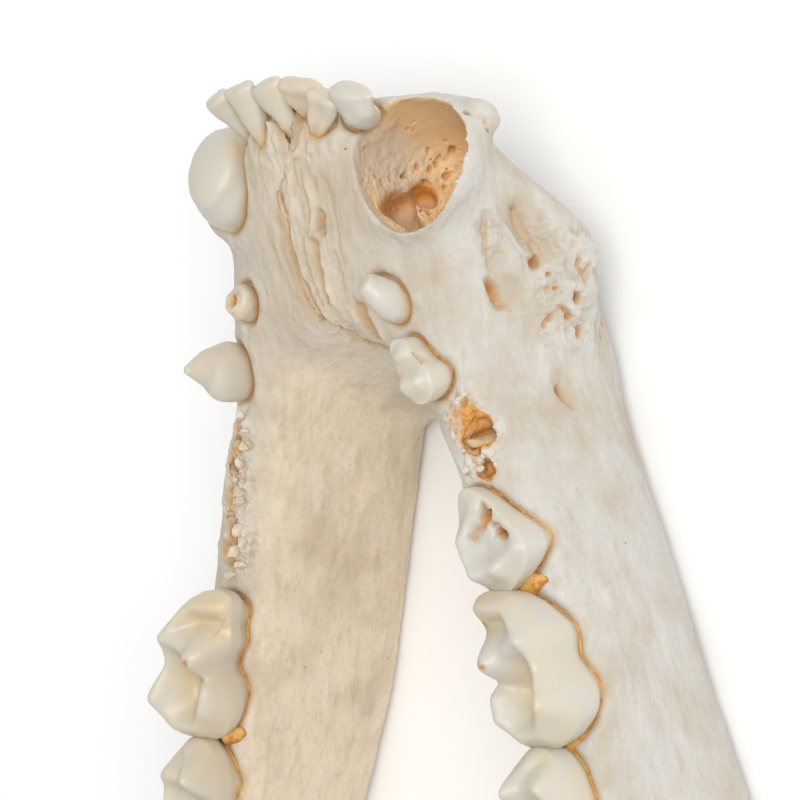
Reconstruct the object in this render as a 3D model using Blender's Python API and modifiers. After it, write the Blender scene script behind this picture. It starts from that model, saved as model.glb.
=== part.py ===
"""Lower jaw of an adult raccoon: two dentary bones that meet at the chin, each with its worn teeth.

Sizes are in millimetres in the jaw's own frame: y runs back along the tooth rows, z rises from the
gum line and x is the distance out from the midline. An empty then tips and lifts the jaw so that it
rests on its lower borders, with the origin under the middle of its box.
"""

from math import atan, cos, pi, radians, sin

import bpy
import bmesh
import numpy as np
from mathutils import Matrix, Vector

MM = 0.001

# Driving sizes, from a large adult. The crown of the first molar reaches a little past its half length.
MOLAR_LENGTH = 11.5
MOLAR_REACH = 1.06
SYMPHYSIS_GAP = 0.3
RESTING_ROUNDS = 8

# Bone surface: voxels of the blend, and triangles left in each dentary before its teeth are joined
BONE_VOXEL = 0.45
BONE_SMOOTHING = 9
BONE_TRIANGLES = 4600

# Places smoothed further, where the bodies meet in a crease: centre and reach
SOFT_SMOOTHING = 110
SOFT_PLACES = (
    ((5.6, -8.0, -6.0), (4.2, 10.0, 9.0)),
    ((12.4, -6.0, -10.5), (3.6, 6.0, 4.0)),
    ((25.0, 54.0, -5.0), (4.0, 5.0, 6.0)),
)

# Rings of a grinding tooth: shares of its outline with heights, then shares over the chewing face
GRINDER_SIDES = 30
GRINDER_WALLS = ((0.66, -3.2), (0.84, -0.4), (0.98, 0.6), (1.0, 1.3))
GRINDER_FACE = (0.95, 0.84, 0.68, 0.5, 0.32, 0.14)
ROLL_FROM = 0.62
OUTER_NECK_DROP = 1.2

BONE_COLOUR = (0.80, 0.73, 0.62, 1.0)
BONE_ROUGHNESS = 0.6

# Body of the dentary, as stations from the chin to the angle of the jaw. A section is squarer above.
BODY_POINTS = 18
BODY_STEP = 1.0
BODY_SQUARE_TOP = 5.0
BODY_SQUARE_FOOT = 2.5
BODY_Y = (-15, -12, -9, -6, -3, 0, 4, 8, 13, 19, 24, 30, 35, 40, 46, 52, 56)
BODY_IN_X = (5.6, 5.2, 5.2, 5.4, 6.0, 7.0, 9.0, 10.2, 11.4, 12.7, 13.8, 15.2, 17.2, 19.4, 22.0, 24.0, 25.0)
BODY_OUT_X = (11.2, 10.2, 10.4, 11.0, 11.0, 11.9, 14.0, 15.8, 17.9, 20.0, 20.5, 21.0, 21.6, 22.4, 24.0, 25.4,
              26.0)
BODY_LOW_X = (7.8, 8.2, 8.7, 9.0, 9.2, 9.5, 9.8, 10.8, 12.4, 14.2, 15.8, 18.2, 19.9, 21.4, 23.2, 24.8, 25.8)
BODY_TOP_Z = (-1.4, -0.4, 0, 0, 0, 0, 0, 0, 0, 0.3, 0.9, 1.6, 1.2, -0.6, -2.6, -4.4, -6.2)
BODY_OUT_DROP = (2.0, 1.6, 1.2, 1.0, 1.0, 1.2, 1.3, 1.7, 1.9, 1.5, 1.1, 0.7, 0.4, 0.2, 0, 0, 0)
BODY_LOW_Z = (-9.0, -12.2, -14.4, -15.9, -16.6, -17.0, -17.0, -16.8, -16.4, -16.0, -15.6, -14.9, -14.0,
              -13.0, -12.0, -11.0, -9.4)
BODY_MID_WIDE = (7.0, 7.6, 8.0, 7.8, 7.6, 7.4, 7.3, 7.3, 7.4, 7.2, 6.8, 6.2, 5.4, 4.6, 3.6, 3.0, 2.6)
BODY_LOW_WIDE = (6.0, 6.4, 7.0, 7.2, 7.2, 7.0, 7.0, 7.0, 7.1, 7.2, 7.0, 6.4, 5.5, 4.8, 4.0, 3.4, 3.0)

# Chin, as level slices from the incisors' gum down to the lower border. Its front rounds back to the
# sides, and its rear face is hollow in the middle.
CHIN_SLICES = 26
CHIN_POINTS = 17
CHIN_FRONT_ROUND = 0.5
CHIN_BACK_SLOPE = 0.6
CHIN_BACK_ROUND = 0.3
CHIN_Z = (0.6, -1.2, -3.4, -6.4, -9.5, -12.4, -14.8, -16.2, -16.6)
CHIN_FRONT_Y = (-19.0, -20.9, -21.1, -19.9, -17.6, -14.4, -10.2, -6.2, -3.8)
CHIN_BACK_Y = (-6.4, -5.4, -4.2, -2.6, -1.2, 0.0, 0.6, 0.2, -1.0)
CHIN_WIDE = (6.4, 7.6, 8.6, 9.4, 10.0, 10.6, 10.6, 9.6, 8.4)
CHIN_TOP_SLOPE = 0.1

# Ramus, as level slices from the angle up to the tip of the coronoid process. The crest along its
# front fades backwards, and most of it stands out of the outer face.
RAMUS_SLICES = 34
RAMUS_POINTS = 18
RAMUS_CREST_FADE = 4.5
RAMUS_CREST_OUTER = 0.7
RAMUS_Z = (-11.8, -9, -5, 0, 4, 8, 12, 16, 20, 23, 25.4, 27.2)
RAMUS_FRONT_Y = (37, 33, 31.5, 33.4, 35.6, 37.7, 39.8, 41.8, 43.8, 45.6, 47.8, 52.0)
RAMUS_BACK_Y = (46, 51.6, 55.4, 56.4, 58.8, 57.4, 55.8, 55.6, 56.6, 57.4, 57.2, 54.6)
RAMUS_CREST_WIDE = (2.0, 2.6, 3.6, 4.2, 4.2, 4.0, 3.7, 3.4, 3.1, 2.7, 2.3, 1.6)
RAMUS_PLATE_WIDE = (1.8, 2.2, 2.4, 2.4, 2.3, 2.1, 1.9, 1.8, 1.8, 1.8, 1.7, 1.4)
RAMUS_FRONT_X = 20.2
RAMUS_SPREAD = 0.25
RAMUS_LEAN = 0.03

# Condyle, its neck and the angular process
CONDYLE_CENTRE = (26.4, 60.0, 4.6)
CONDYLE_LENGTH = 14.0
CONDYLE_RADIUS = 2.9
CONDYLE_TOE_DEG = 8.0
NECK_PATH = ((23.6, 49, -4.0), (25.0, 54.6, 0.2), (26.0, 59.0, 3.4))
NECK_RADII = ((1.4, 1.8), (2.2, 2.8), (4.4, 2.6))
ANGLE_PATH = ((22.6, 43, -9.6), (24.2, 50.5, -8.6), (25.0, 56.5, -7.4), (25.2, 61.4, -5.4))
ANGLE_RADII = ((1.7, 2.6), (1.7, 3.0), (1.6, 2.5), (1.0, 1.2))

# Root of the canine, which swells the bone beside the chin, and the socket left where it is missing
CANINE_ROOT_PATH = ((8.6, -15.7, -2.6), (7.9, -13.6, -5.2), (8.5, -9.8, -8.4), (9.4, -4.0, -11.0))
OPEN_ROOT_RADII = ((4.5, 5.7), (4.1, 4.8), (4.4, 4.2), (3.8, 3.4))
FILLED_ROOT_RADII = ((4.0, 4.7), (3.9, 4.6), (4.4, 4.2), (3.8, 3.4))
CANINE_EGG = 0.12
SOCKET_PATH = ((10.2, -16.8, 2.0), (8.9, -15.9, -1.6), (8.3, -14.3, -4.8), (8.4, -11.4, -8.2))
SOCKET_RADII = ((4.0, 5.0), (3.9, 4.8), (3.2, 4.0), (1.8, 2.2))

# Knob at the front of the empty socket's rim
KNOB_PATH = ((11.2, -18.9, -4.9), (12.3, -18.7, -5.2), (12.7, -18.0, -6.2), (12.3, -17.4, -7.0))
KNOB_RADII = ((0.7, 0.8), (0.75, 0.75), (0.6, 0.65), (0.5, 0.5))

# Broken sockets of lost premolars, as slots cut along the gum: path and radii
RIGHT_SLOTS = (
    (((11.4, 0.9, 1.4), (11.7, 2.2, -0.8), (11.8, 2.8, -3.2)), ((1.4, 1.6), (1.3, 1.4), (0.8, 0.8))),
    (((12.3, 4.8, 1.2), (12.3, 4.8, -0.8), (12.4, 4.8, -2.8)), ((1.4, 1.3), (1.3, 1.2), (0.8, 0.8))),
)
LEFT_SLOTS = (
    (((11.2, 1.2, 1.0), (11.3, 2.0, -0.8), (11.5, 2.4, -2.4)), ((1.2, 1.3), (1.1, 1.2), (0.7, 0.7))),
    (((12.2, 4.8, 0.8), (12.2, 4.8, -1.0), (12.4, 4.8, -2.6)), ((1.3, 1.3), (1.1, 1.2), (0.7, 0.7))),
    (((13.2, 8.6, 0.6), (13.3, 8.8, -1.4), (13.5, 9.0, -2.8)), ((1.6, 1.3), (1.4, 1.2), (0.8, 0.7))),
)

# Small holes for nerves on the outer face, each with its direction inwards and its radius
MENTAL_HOLES = (
    ((12.0, -6.5, -5.2), (-0.8, -0.5, -0.3), 0.95),
    ((13.0, -7.9, -8.7), (-0.9, -0.3, -0.3), 0.5),
    ((13.4, 1.5, -9.3), (-0.8, 0.6, -0.2), 0.55),
)
MANDIBULAR_HOLE = ((21.4, 47.0, -3.4), (0.5, -0.85, -0.1), 1.3)
HOLE_DEPTH = 2.6

# Soft hollows and swellings of the bone: centre, reach and push
RELIEF = (
    ((26.0, 47.0, 3.0), (2.4, 9.0, 9.0), (-1.0, 0.0, 0.0)),
    ((25.0, 40.5, -3.0), (2.4, 6.0, 3.4), (-0.8, 0.0, 0.0)),
    ((11.4, -18.6, -7.0), (1.6, 1.8, 2.2), (0.5, -0.7, -0.3)),
    ((14.0, -8.2, -10.6), (3.6, 5.4, 3.6), (2.3, -0.3, -1.6)),
)

# Grinding teeth. Outlines and cusps are shares of a tooth's half length, forwards, and half width,
# outwards. A cusp or crest runs between two places, with its height in millimetres at each.
MOLAR_OUTLINE = (
    (0.98, 0.05), (0.84, 0.38), (0.61, 0.68), (0.4, 0.88), (0.2, 0.92), (-0.02, 0.83), (-0.24, 0.92),
    (-0.48, 1.06), (-0.78, 0.95), (-1.0, 0.5), (-1.06, -0.05), (-0.92, -0.42), (-0.66, -0.7),
    (-0.34, -0.84), (0.02, -0.6), (0.4, -0.82), (0.66, -0.77), (0.86, -0.86), (1.02, -0.76), (1.06, -0.4),
)
ROUND_OUTLINE = (
    (1.0, 0.0), (0.84, 0.6), (0.4, 0.95), (-0.2, 1.0), (-0.78, 0.66),
    (-1.0, 0.0), (-0.8, -0.62), (-0.3, -0.9), (0.1, -0.84), (0.4, -0.98), (0.84, -0.62),
)
WORN_OUTLINE = (
    (1.08, -0.1), (0.95, 0.12), (0.5, 0.48), (0.13, 0.74), (-0.2, 0.93), (-0.48, 0.93), (-0.72, 0.6),
    (-0.88, 0.15), (-0.97, -0.3), (-0.9, -0.62), (-0.6, -0.85), (-0.19, -0.98), (0.25, -1.05),
    (0.57, -0.78), (0.9, -0.55), (1.06, -0.35),
)
WAISTED_OUTLINE = (
    (1.0, 0.0), (0.84, 0.5), (0.4, 0.66), (0.1, 0.74), (-0.36, 1.0), (-0.8, 0.7),
    (-1.0, 0.0), (-0.84, -0.66), (-0.4, -0.98), (0.1, -0.72), (0.5, -0.62), (0.86, -0.45),
)
MOLAR_CRESTS = (
    (0.38, 0.66, 4.0, 0.84, 0.3, 3.3),
    (0.84, 0.3, 3.3, 0.92, -0.62, 2.8),
    (0.38, 0.66, 3.9, 0.24, -0.3, 3.6),
    (0.21, -0.33, 4.5, 0.21, -0.33, 4.5),
    (0.21, -0.33, 4.1, 0.22, -0.64, 3.2),
    (0.3, 0.62, 3.6, 0.0, 0.68, 3.1),
    (0.0, 0.68, 3.1, -0.5, 0.78, 4.4),
    (-0.5, 0.78, 4.3, -0.84, 0.25, 3.5),
    (-0.84, 0.25, 3.5, -0.76, -0.3, 3.5),
    (-0.76, -0.3, 3.5, -0.28, -0.52, 3.4),
)
SECOND_MOLAR_CRESTS = (
    (0.5, 0.62, 3.9, 0.5, -0.45, 3.2),
    (0.52, -0.5, 4.4, 0.52, -0.5, 4.4),
    (0.52, -0.5, 3.6, 0.84, 0.0, 2.8),
    (-0.3, 0.66, 3.6, 0.5, 0.66, 3.2),
    (-0.3, -0.62, 3.9, -0.3, -0.62, 3.9),
    (-0.78, 0.0, 3.1, -0.3, 0.62, 3.2),
    (-0.78, 0.0, 3.1, -0.3, -0.6, 3.4),
)
WORN_CRESTS = (
    (0.25, -0.7, 2.5, -0.4, -0.6, 3.0),
    (-0.5, 0.0, 2.6, -0.4, -0.6, 2.8),
    (0.7, -0.1, 1.7, 0.25, -0.7, 2.3),
    (-0.35, 0.7, 1.9, -0.5, 0.0, 2.4),
)
LOW_CRESTS = (
    (0.5, 0.1, 1.7, 0.5, -0.1, 1.7),
    (-0.35, -0.3, 2.4, -0.45, 0.3, 2.2),
)
CREST_FALL = 1.75
CREST_ROUND = 0.6
CREST_BLEND = 5.0

# Name, sides that keep it, middle, heading inwards, length, width, gum height, outline, crests, basin
FIRST_MOLAR_LENGTH = MOLAR_LENGTH / MOLAR_REACH
SECOND_MOLAR_LENGTH = 0.86 * MOLAR_LENGTH
GRINDERS = (
    ("m2", (1, -1), (17.15, 28.3), 8, SECOND_MOLAR_LENGTH, 4.9, 1.1,
     ROUND_OUTLINE, SECOND_MOLAR_CRESTS, 1.9),
    ("m1", (1, -1), (15.85, 18.25), 13.6, FIRST_MOLAR_LENGTH, 6.7, 0.0,
     MOLAR_OUTLINE, MOLAR_CRESTS, 1.7),
    ("p4", (-1,), (13.6, 9.7), 23, 7.5, 5.5, -0.6, WORN_OUTLINE, WORN_CRESTS, 1.5),
    ("p2", (-1,), (8.5, -2.1), 30, 4.9, 2.8, -0.3, WAISTED_OUTLINE, LOW_CRESTS, 1.2),
)

# Single-rooted teeth and stumps: sides that keep them, path from root to tip, and radii along it
PEGS = (
    ("canine", (1,), ((7.9, -12.8, -6.0), (8.0, -14.6, -3.0), (8.0, -15.9, -0.6), (8.0, -16.6, 0.9)),
     ((2.2, 2.8), (2.7, 3.4), (2.8, 3.7), (2.3, 3.0))),
    ("p1", (-1,), ((7.1, -5.8, -2.2), (6.5, -6.9, -0.1), (5.8, -8.2, 1.2)),
     ((0.8, 1.0), (1.0, 1.4), (0.7, 0.9))),
    ("p1", (1,), ((8.0, -6.6, -2.4), (8.0, -7.3, 0.0), (8.1, -7.5, 0.7)),
     ((1.0, 1.1), (1.1, 1.3), (0.8, 0.9))),
    ("p2", (1,), ((9.9, -2.0, -2.6), (10.2, -2.5, 0.4), (10.6, -3.2, 3.5)),
     ((1.1, 1.7), (1.3, 2.1), (0.4, 0.5))),
    ("p3", (1,), ((12.0, 3.4, -3.0), (11.9, 3.5, -0.6)), ((0.9, 0.8), (0.6, 0.7))),
    ("p4_front", (1,), ((12.8, 7.0, -3.2), (12.7, 6.8, -0.2)), ((1.1, 0.9), (0.8, 0.7))),
    ("p4_rear", (1,), ((14.2, 10.8, -3.2), (14.0, 10.8, 0.2)), ((1.3, 0.9), (0.9, 0.6))),
    ("p3_septum", (-1,), ((12.0, 3.6, -3.2), (11.9, 3.6, -0.4)), ((1.3, 0.7), (1.0, 0.45))),
)

# Incisors: side, root, neck and tip of the crown, and half width of the crown
INCISORS = (
    (1, (1.0, -15.8, -3.2), (1.05, -18.6, -0.7), (1.3, -22.3, 1.2), 1.05),
    (1, (2.7, -14.6, -3.2), (2.8, -17.6, -0.5), (3.5, -22.1, 1.4), 1.1),
    (1, (4.4, -16.2, -3.4), (4.8, -18.8, -1.0), (6.0, -21.8, 1.35), 1.0),
    (-1, (1.4, -16.4, -3.2), (1.45, -19.0, -0.7), (1.9, -22.2, 1.0), 1.55),
    (-1, (2.6, -15.0, -3.2), (2.9, -17.7, -0.7), (4.1, -21.0, 1.0), 1.25),
    (-1, (4.0, -19.2, -2.6), (6.0, -19.5, -0.4), (6.9, -21.3, 0.8), 1.5),
)

# Shares of the half width, and half thickness, of an incisor from its root to its neck and tip
INCISOR_ALONG = (0.0, 0.5, 1.0, 1.3, 1.6, 1.85, 2.0)
INCISOR_ACROSS = (0.7, 0.71, 0.76, 0.86, 0.96, 1.0, 0.94)
INCISOR_DEEP = (0.9, 1.0, 1.0, 0.9, 0.76, 0.62, 0.52)
INCISOR_DOME = ((0.25, 0.92), (0.45, 0.6))
INCISOR_SIDES = 12


def clear_scene():
    for obj in list(bpy.data.objects):
        bpy.data.objects.remove(obj)


def new_object(name, mesh):
    """An object of this mesh, linked to the scene."""
    obj = bpy.data.objects.new(name, mesh)
    bpy.context.scene.collection.objects.link(obj)
    return obj


def smooth_values(stations, values, at):
    """Values read between the stations on a smooth curve that doesn't overshoot."""
    x = np.asarray(stations, float)
    y = np.asarray(values, float)
    step = np.diff(x)
    slope = np.diff(y) / step
    tangent = np.zeros(len(x))
    tangent[0], tangent[-1] = slope[0], slope[-1]
    for i in range(1, len(x) - 1):
        if slope[i - 1] * slope[i] > 0:
            before, after = 2 * step[i] + step[i - 1], step[i] + 2 * step[i - 1]
            tangent[i] = (before + after) / (before / slope[i - 1] + after / slope[i])
    at = np.clip(np.asarray(at, float), x[0], x[-1])
    i = np.clip(np.searchsorted(x, at) - 1, 0, len(x) - 2)
    t = (at - x[i]) / step[i]
    return (
        y[i] * (1 + 2 * t) * (1 - t) ** 2
        + tangent[i] * step[i] * t * (1 - t) ** 2
        + y[i + 1] * t**2 * (3 - 2 * t)
        - tangent[i + 1] * step[i] * t**2 * (1 - t)
    )


def loft(name, rings, side):
    """A closed body through rings of equal count. The ends are closed with fans."""
    bm = bmesh.new()
    loops = []
    for ring in rings:
        loops.append([bm.verts.new((side * x * MM, y * MM, z * MM)) for x, y, z in ring])
    count = len(loops[0])
    for low, high in zip(loops[:-1], loops[1:]):
        for i in range(count):
            j = (i + 1) % count
            bm.faces.new((low[i], low[j], high[j], high[i]))
    for loop in (loops[0], loops[-1]):
        centre = bm.verts.new(sum((v.co for v in loop), Vector()) / count)
        for i in range(count):
            bm.faces.new((loop[i], loop[(i + 1) % count], centre))
    bmesh.ops.recalc_face_normals(bm, faces=bm.faces)
    mesh = bpy.data.meshes.new(name)
    bm.to_mesh(mesh)
    bm.free()
    return new_object(name, mesh)


def body_ring(y, top, low, widths, drop):
    """A section across the body, squared at the gum and rounded below: down outside and up inside."""
    s = (1 - np.cos(np.linspace(0, pi, BODY_POINTS))) / 2
    wide = widths[0] * (1 - s) * (1 - 2 * s) + widths[1] * 4 * s * (1 - s) + widths[2] * s * (2 * s - 1)
    power = np.where(s < 0.5, BODY_SQUARE_TOP, BODY_SQUARE_FOOT)
    half = wide / 2 * (1 - np.abs(2 * s - 1) ** power) ** (1 / power)
    x = top[0] + (low[0] - top[0]) * s
    z = top[1] + (low[1] - top[1]) * s
    outer_z = z - drop * (1 - s) ** 3 * (0.5 + half / wide)
    inner_z = z - drop * (1 - s) ** 3 * (0.5 - half / wide)
    outer = [(x[i] + half[i], y, outer_z[i]) for i in range(BODY_POINTS)]
    inner = [(x[i] - half[i], y, inner_z[i]) for i in range(BODY_POINTS - 2, 0, -1)]
    return outer + inner


def dentary_body(side):
    """The bar of bone that holds the cheek teeth."""
    ys = np.arange(BODY_Y[0], BODY_Y[-1] + BODY_STEP / 2, BODY_STEP)
    edges = [smooth_values(BODY_Y, track, ys) for track in (BODY_IN_X, BODY_OUT_X, BODY_LOW_X)]
    heights = [smooth_values(BODY_Y, track, ys) for track in (BODY_TOP_Z, BODY_LOW_Z, BODY_OUT_DROP)]
    breadths = [smooth_values(BODY_Y, track, ys) for track in (BODY_MID_WIDE, BODY_LOW_WIDE)]
    rings = []
    for y, x_in, x_out, x_low, top, low, drop, mid_wide, low_wide in zip(ys, *edges, *heights, *breadths):
        widths = (x_out - x_in, mid_wide, low_wide)
        rings.append(body_ring(y, ((x_in + x_out) / 2, top), (x_low, low), widths, drop))
    return loft("body", rings, side)


def chin_block(side):
    """The front of the jaw between the midline and the canine, hollowed behind towards the midline."""
    zs = np.linspace(CHIN_Z[0], CHIN_Z[-1], CHIN_SLICES)
    tracks = (CHIN_FRONT_Y, CHIN_BACK_Y, CHIN_WIDE)
    rings = []
    for z, front, back, wide in zip(zs, *(smooth_values(CHIN_Z[::-1], t[::-1], zs) for t in tracks)):
        ring = []
        for share in np.linspace(-1, 1, CHIN_POINTS):
            x = wide * share
            ring.append((x, front + (back - front) * CHIN_FRONT_ROUND * abs(share) ** 4, z))
        for share in np.linspace(1, -1, CHIN_POINTS)[1:-1]:
            x = wide * share
            ring.append((x, back + abs(x) * (CHIN_BACK_SLOPE - CHIN_BACK_ROUND * abs(share) ** 3), z))
        middle = (front + back) / 2
        ring = [(x, y, level - CHIN_TOP_SLOPE * (y - middle)) for x, y, level in ring]
        rings.append(ring)
    return loft("chin", rings, side)


def ramus_plate(side):
    """The upright plate behind the teeth: a thick front crest and a thin blade, hollow outside."""
    zs = np.linspace(RAMUS_Z[0], RAMUS_Z[-1], RAMUS_SLICES)
    tracks = (RAMUS_FRONT_Y, RAMUS_BACK_Y, RAMUS_CREST_WIDE, RAMUS_PLATE_WIDE)
    rings = []
    s = (1 - np.cos(np.linspace(0, pi, RAMUS_POINTS))) / 2
    for z, front, back, crest, plate in zip(zs, *(smooth_values(RAMUS_Z, t, zs) for t in tracks)):
        y = front + (back - front) * s
        swell = (crest - plate) * np.exp(-((s * (back - front) / RAMUS_CREST_FADE) ** 2))
        blunt = (1 - np.abs(2 * s - 1) ** 4) ** 0.25
        x = RAMUS_FRONT_X + RAMUS_SPREAD * (y - RAMUS_FRONT_Y[3]) + RAMUS_LEAN * z
        out = x + (plate / 2 + RAMUS_CREST_OUTER * swell) * blunt
        into = x - (plate / 2 + (1 - RAMUS_CREST_OUTER) * swell) * blunt
        outer = [(out[i], y[i], z) for i in range(RAMUS_POINTS)]
        inner = [(into[i], y[i], z) for i in range(RAMUS_POINTS - 2, 0, -1)]
        rings.append(outer + inner)
    return loft("ramus", rings, side)


def tube(name, path, radii, side, steps=14, points=16, egg=0.0):
    """A rod along a smooth path with domed ends. Each radius is a pair: across the jaw, and the other.

    An egg-shaped section is wider in front than behind.
    """
    path = np.asarray(path, float)
    along = np.linspace(0, len(path) - 1, steps)
    knots = np.arange(len(path))
    centre = np.stack([smooth_values(knots, path[:, i], along) for i in range(3)], 1)
    radius = np.stack([smooth_values(knots, [pair[i] for pair in radii], along) for i in range(2)], 1)
    forward = np.gradient(centre, axis=0)
    forward /= np.linalg.norm(forward, axis=1)[:, None]
    stages = list(zip(centre, forward, radius))
    dome = ((0.45, 0.55), (0.28, 0.85))
    for shift, share in reversed(dome):
        stages.insert(0, (centre[0] - forward[0] * shift * radius[0].min(), forward[0], radius[0] * share))
        stages.append((centre[-1] + forward[-1] * shift * radius[-1].min(), forward[-1], radius[-1] * share))
    out = np.array((1.0, 0.0, 0.0))
    loops = []
    for point, ahead, (across, other) in stages:
        first = out - ahead * np.dot(out, ahead)
        first /= np.linalg.norm(first)
        second = np.cross(ahead, first)
        loops.append([
            tuple(point + across * cos(a) * (1 + egg * sin(a)) * first + other * sin(a) * second)
            for a in np.linspace(0, 2 * pi, points, endpoint=False)
        ])
    return loft(name, loops, side)


def condyle(side):
    """The cross bar of the jaw joint, narrower at its ends."""
    toe = radians(CONDYLE_TOE_DEG)
    half = CONDYLE_LENGTH / 2
    x, y, z = CONDYLE_CENTRE
    rings = []
    for t in np.linspace(-1, 1, 13):
        r = CONDYLE_RADIUS * (1 - 0.12 * t) * (1 - abs(t) ** 2.6) ** 0.5 + 0.25
        cx, cy = x + half * t * cos(toe), y - half * t * sin(toe)
        rings.append([
            (cx, cy + r * cos(a), z + 0.92 * r * sin(a)) for a in np.linspace(0, 2 * pi, 18, endpoint=False)])
    return loft("condyle", rings, side)


def join(objects, name):
    """These objects' meshes in one new object, with the old ones removed."""
    bm = bmesh.new()
    for obj in objects:
        bm.from_mesh(obj.data)
        bpy.data.objects.remove(obj)
    mesh = bpy.data.meshes.new(name)
    bm.to_mesh(mesh)
    bm.free()
    return new_object(name, mesh)


def apply_modifiers(obj):
    """Replaces the object's mesh by its evaluated one."""
    graph = bpy.context.evaluated_depsgraph_get()
    mesh = bpy.data.meshes.new_from_object(obj.evaluated_get(graph))
    obj.modifiers.clear()
    obj.data = mesh


def blend_bone(obj, voxel, smoothing):
    """Melts overlapping bodies into one skin."""
    remesh = obj.modifiers.new("blend", "REMESH")
    remesh.mode = "VOXEL"
    remesh.voxel_size = voxel * MM
    smooth = obj.modifiers.new("soften", "SMOOTH")
    smooth.factor = 0.5
    smooth.iterations = smoothing
    apply_modifiers(obj)


def soften_places(obj, side):
    """Smooths the skin further around the creases where bodies meet."""
    group = obj.vertex_groups.new(name="soft")
    centres = np.array([centre for centre, reach in SOFT_PLACES]) * (side, 1, 1)
    reaches = np.array([reach for centre, reach in SOFT_PLACES])
    for v in obj.data.vertices:
        away = (((np.array(v.co) / MM - centres) / reaches) ** 2).sum(1)
        group.add([v.index], min(2 * np.exp(-away).max(), 1), "REPLACE")
    smooth = obj.modifiers.new("soften", "SMOOTH")
    smooth.factor = 0.5
    smooth.iterations = SOFT_SMOOTHING
    smooth.vertex_group = group.name
    apply_modifiers(obj)
    obj.vertex_groups.clear()


def push_relief(obj, side):
    """Presses the soft hollows into the skin and raises its swellings."""
    points = np.empty(len(obj.data.vertices) * 3)
    obj.data.vertices.foreach_get("co", points)
    points = points.reshape(-1, 3) / MM * (side, 1, 1)
    for centre, reach, push in RELIEF:
        near = np.exp(-(((points - centre) / reach) ** 2).sum(1))
        points += near[:, None] * push
    obj.data.vertices.foreach_set("co", (points * (side, 1, 1) * MM).ravel())
    obj.data.update()


def cut(obj, tools):
    """Cuts the object by each tool in turn. The tools are then removed."""
    for tool in tools:
        modifier = obj.modifiers.new(tool.name, "BOOLEAN")
        modifier.operation = "DIFFERENCE"
        modifier.object = tool
        modifier.solver = "MANIFOLD"
        apply_modifiers(obj)
        bpy.data.objects.remove(tool)


def fuse(obj, pieces):
    """Joins closed pieces to the object in one union. The pieces are then removed."""
    group = bpy.data.collections.new("pieces")
    bpy.context.scene.collection.children.link(group)
    for piece in pieces:
        bpy.context.scene.collection.objects.unlink(piece)
        group.objects.link(piece)
    modifier = obj.modifiers.new("fuse", "BOOLEAN")
    modifier.operation = "UNION"
    modifier.operand_type = "COLLECTION"
    modifier.collection = group
    modifier.solver = "MANIFOLD"
    apply_modifiers(obj)
    for piece in pieces:
        bpy.data.objects.remove(piece)
    bpy.data.collections.remove(group)


def keep_largest(obj):
    """Keeps only the closed surface with the most faces."""
    bm = bmesh.new()
    bm.from_mesh(obj.data)
    left = set(bm.faces)
    shells = []
    while left:
        shell = [left.pop()]
        for face in shell:
            for edge in face.edges:
                for other in edge.link_faces:
                    if other in left:
                        left.remove(other)
                        shell.append(other)
        shells.append(shell)
    shells.sort(key=len)
    for shell in shells[:-1]:
        bmesh.ops.delete(bm, geom=shell, context="FACES")
    loose = [v for v in bm.verts if not v.link_faces]
    bmesh.ops.delete(bm, geom=loose, context="VERTS")
    bm.to_mesh(obj.data)
    bm.free()


def box(name, low, high, side):
    """A closed block between two corners."""
    bm = bmesh.new()
    bmesh.ops.create_cube(bm, size=1.0)
    for v in bm.verts:
        x, y, z = (low[i] + (high[i] - low[i]) * (v.co[i] + 0.5) for i in range(3))
        v.co = (side * x * MM, y * MM, z * MM)
    bm.normal_update()
    bmesh.ops.recalc_face_normals(bm, faces=bm.faces)
    mesh = bpy.data.meshes.new(name)
    bm.to_mesh(mesh)
    bm.free()
    return new_object(name, mesh)


def nerve_hole(name, centre, inwards, radius, side):
    """A short blind hole, wider at its mouth."""
    centre = np.array(centre)
    inwards = np.array(inwards) / np.linalg.norm(inwards)
    path = (centre - inwards * 1.5, centre + inwards * 0.4, centre + inwards * HOLE_DEPTH)
    radii = ((radius * 1.5, radius * 1.5), (radius, radius), (radius * 0.7, radius * 0.7))
    return tube(name, path, radii, side, steps=6, points=10)


def closed_curve(points, count):
    """A smooth closed curve through these points, read at even steps of angle about the origin."""
    points = np.asarray(points, float)
    total = len(points)
    fine = []
    for i in range(total):
        before, here, after, beyond = (points[(i + k) % total] for k in (-1, 0, 1, 2))
        for t in np.linspace(0, 1, 12, endpoint=False):
            bend = 2 * before - 5 * here + 4 * after - beyond
            twist = 3 * here - before - 3 * after + beyond
            fine.append(here + 0.5 * ((after - before) * t + bend * t**2 + twist * t**3))
    fine = np.array(fine)
    angle = np.arctan2(fine[:, 1], fine[:, 0])
    order = np.argsort(angle)
    at = np.linspace(-pi, pi, count, endpoint=False)
    return np.stack([np.interp(at, angle[order], fine[order, i], period=2 * pi) for i in range(2)], 1)


def crest_height(u, v, crests, basin, half_length, half_width):
    """Height of a chewing face: the highest of its crests over the basin, softly blended."""
    levels = [basin]
    here = np.array((u * half_length, v * half_width))
    for u0, v0, h0, u1, v1, h1 in crests:
        start = np.array((u0 * half_length, v0 * half_width))
        run = np.array((u1 * half_length, v1 * half_width)) - start
        length = np.dot(run, run)
        share = min(max(np.dot(here - start, run) / length, 0), 1) if length else 0
        away = np.linalg.norm(here - start - share * run)
        levels.append(h0 + (h1 - h0) * share - CREST_FALL * away**2 / (away + CREST_ROUND))
    return np.log(np.exp(CREST_BLEND * np.array(levels)).sum()) / CREST_BLEND


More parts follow.
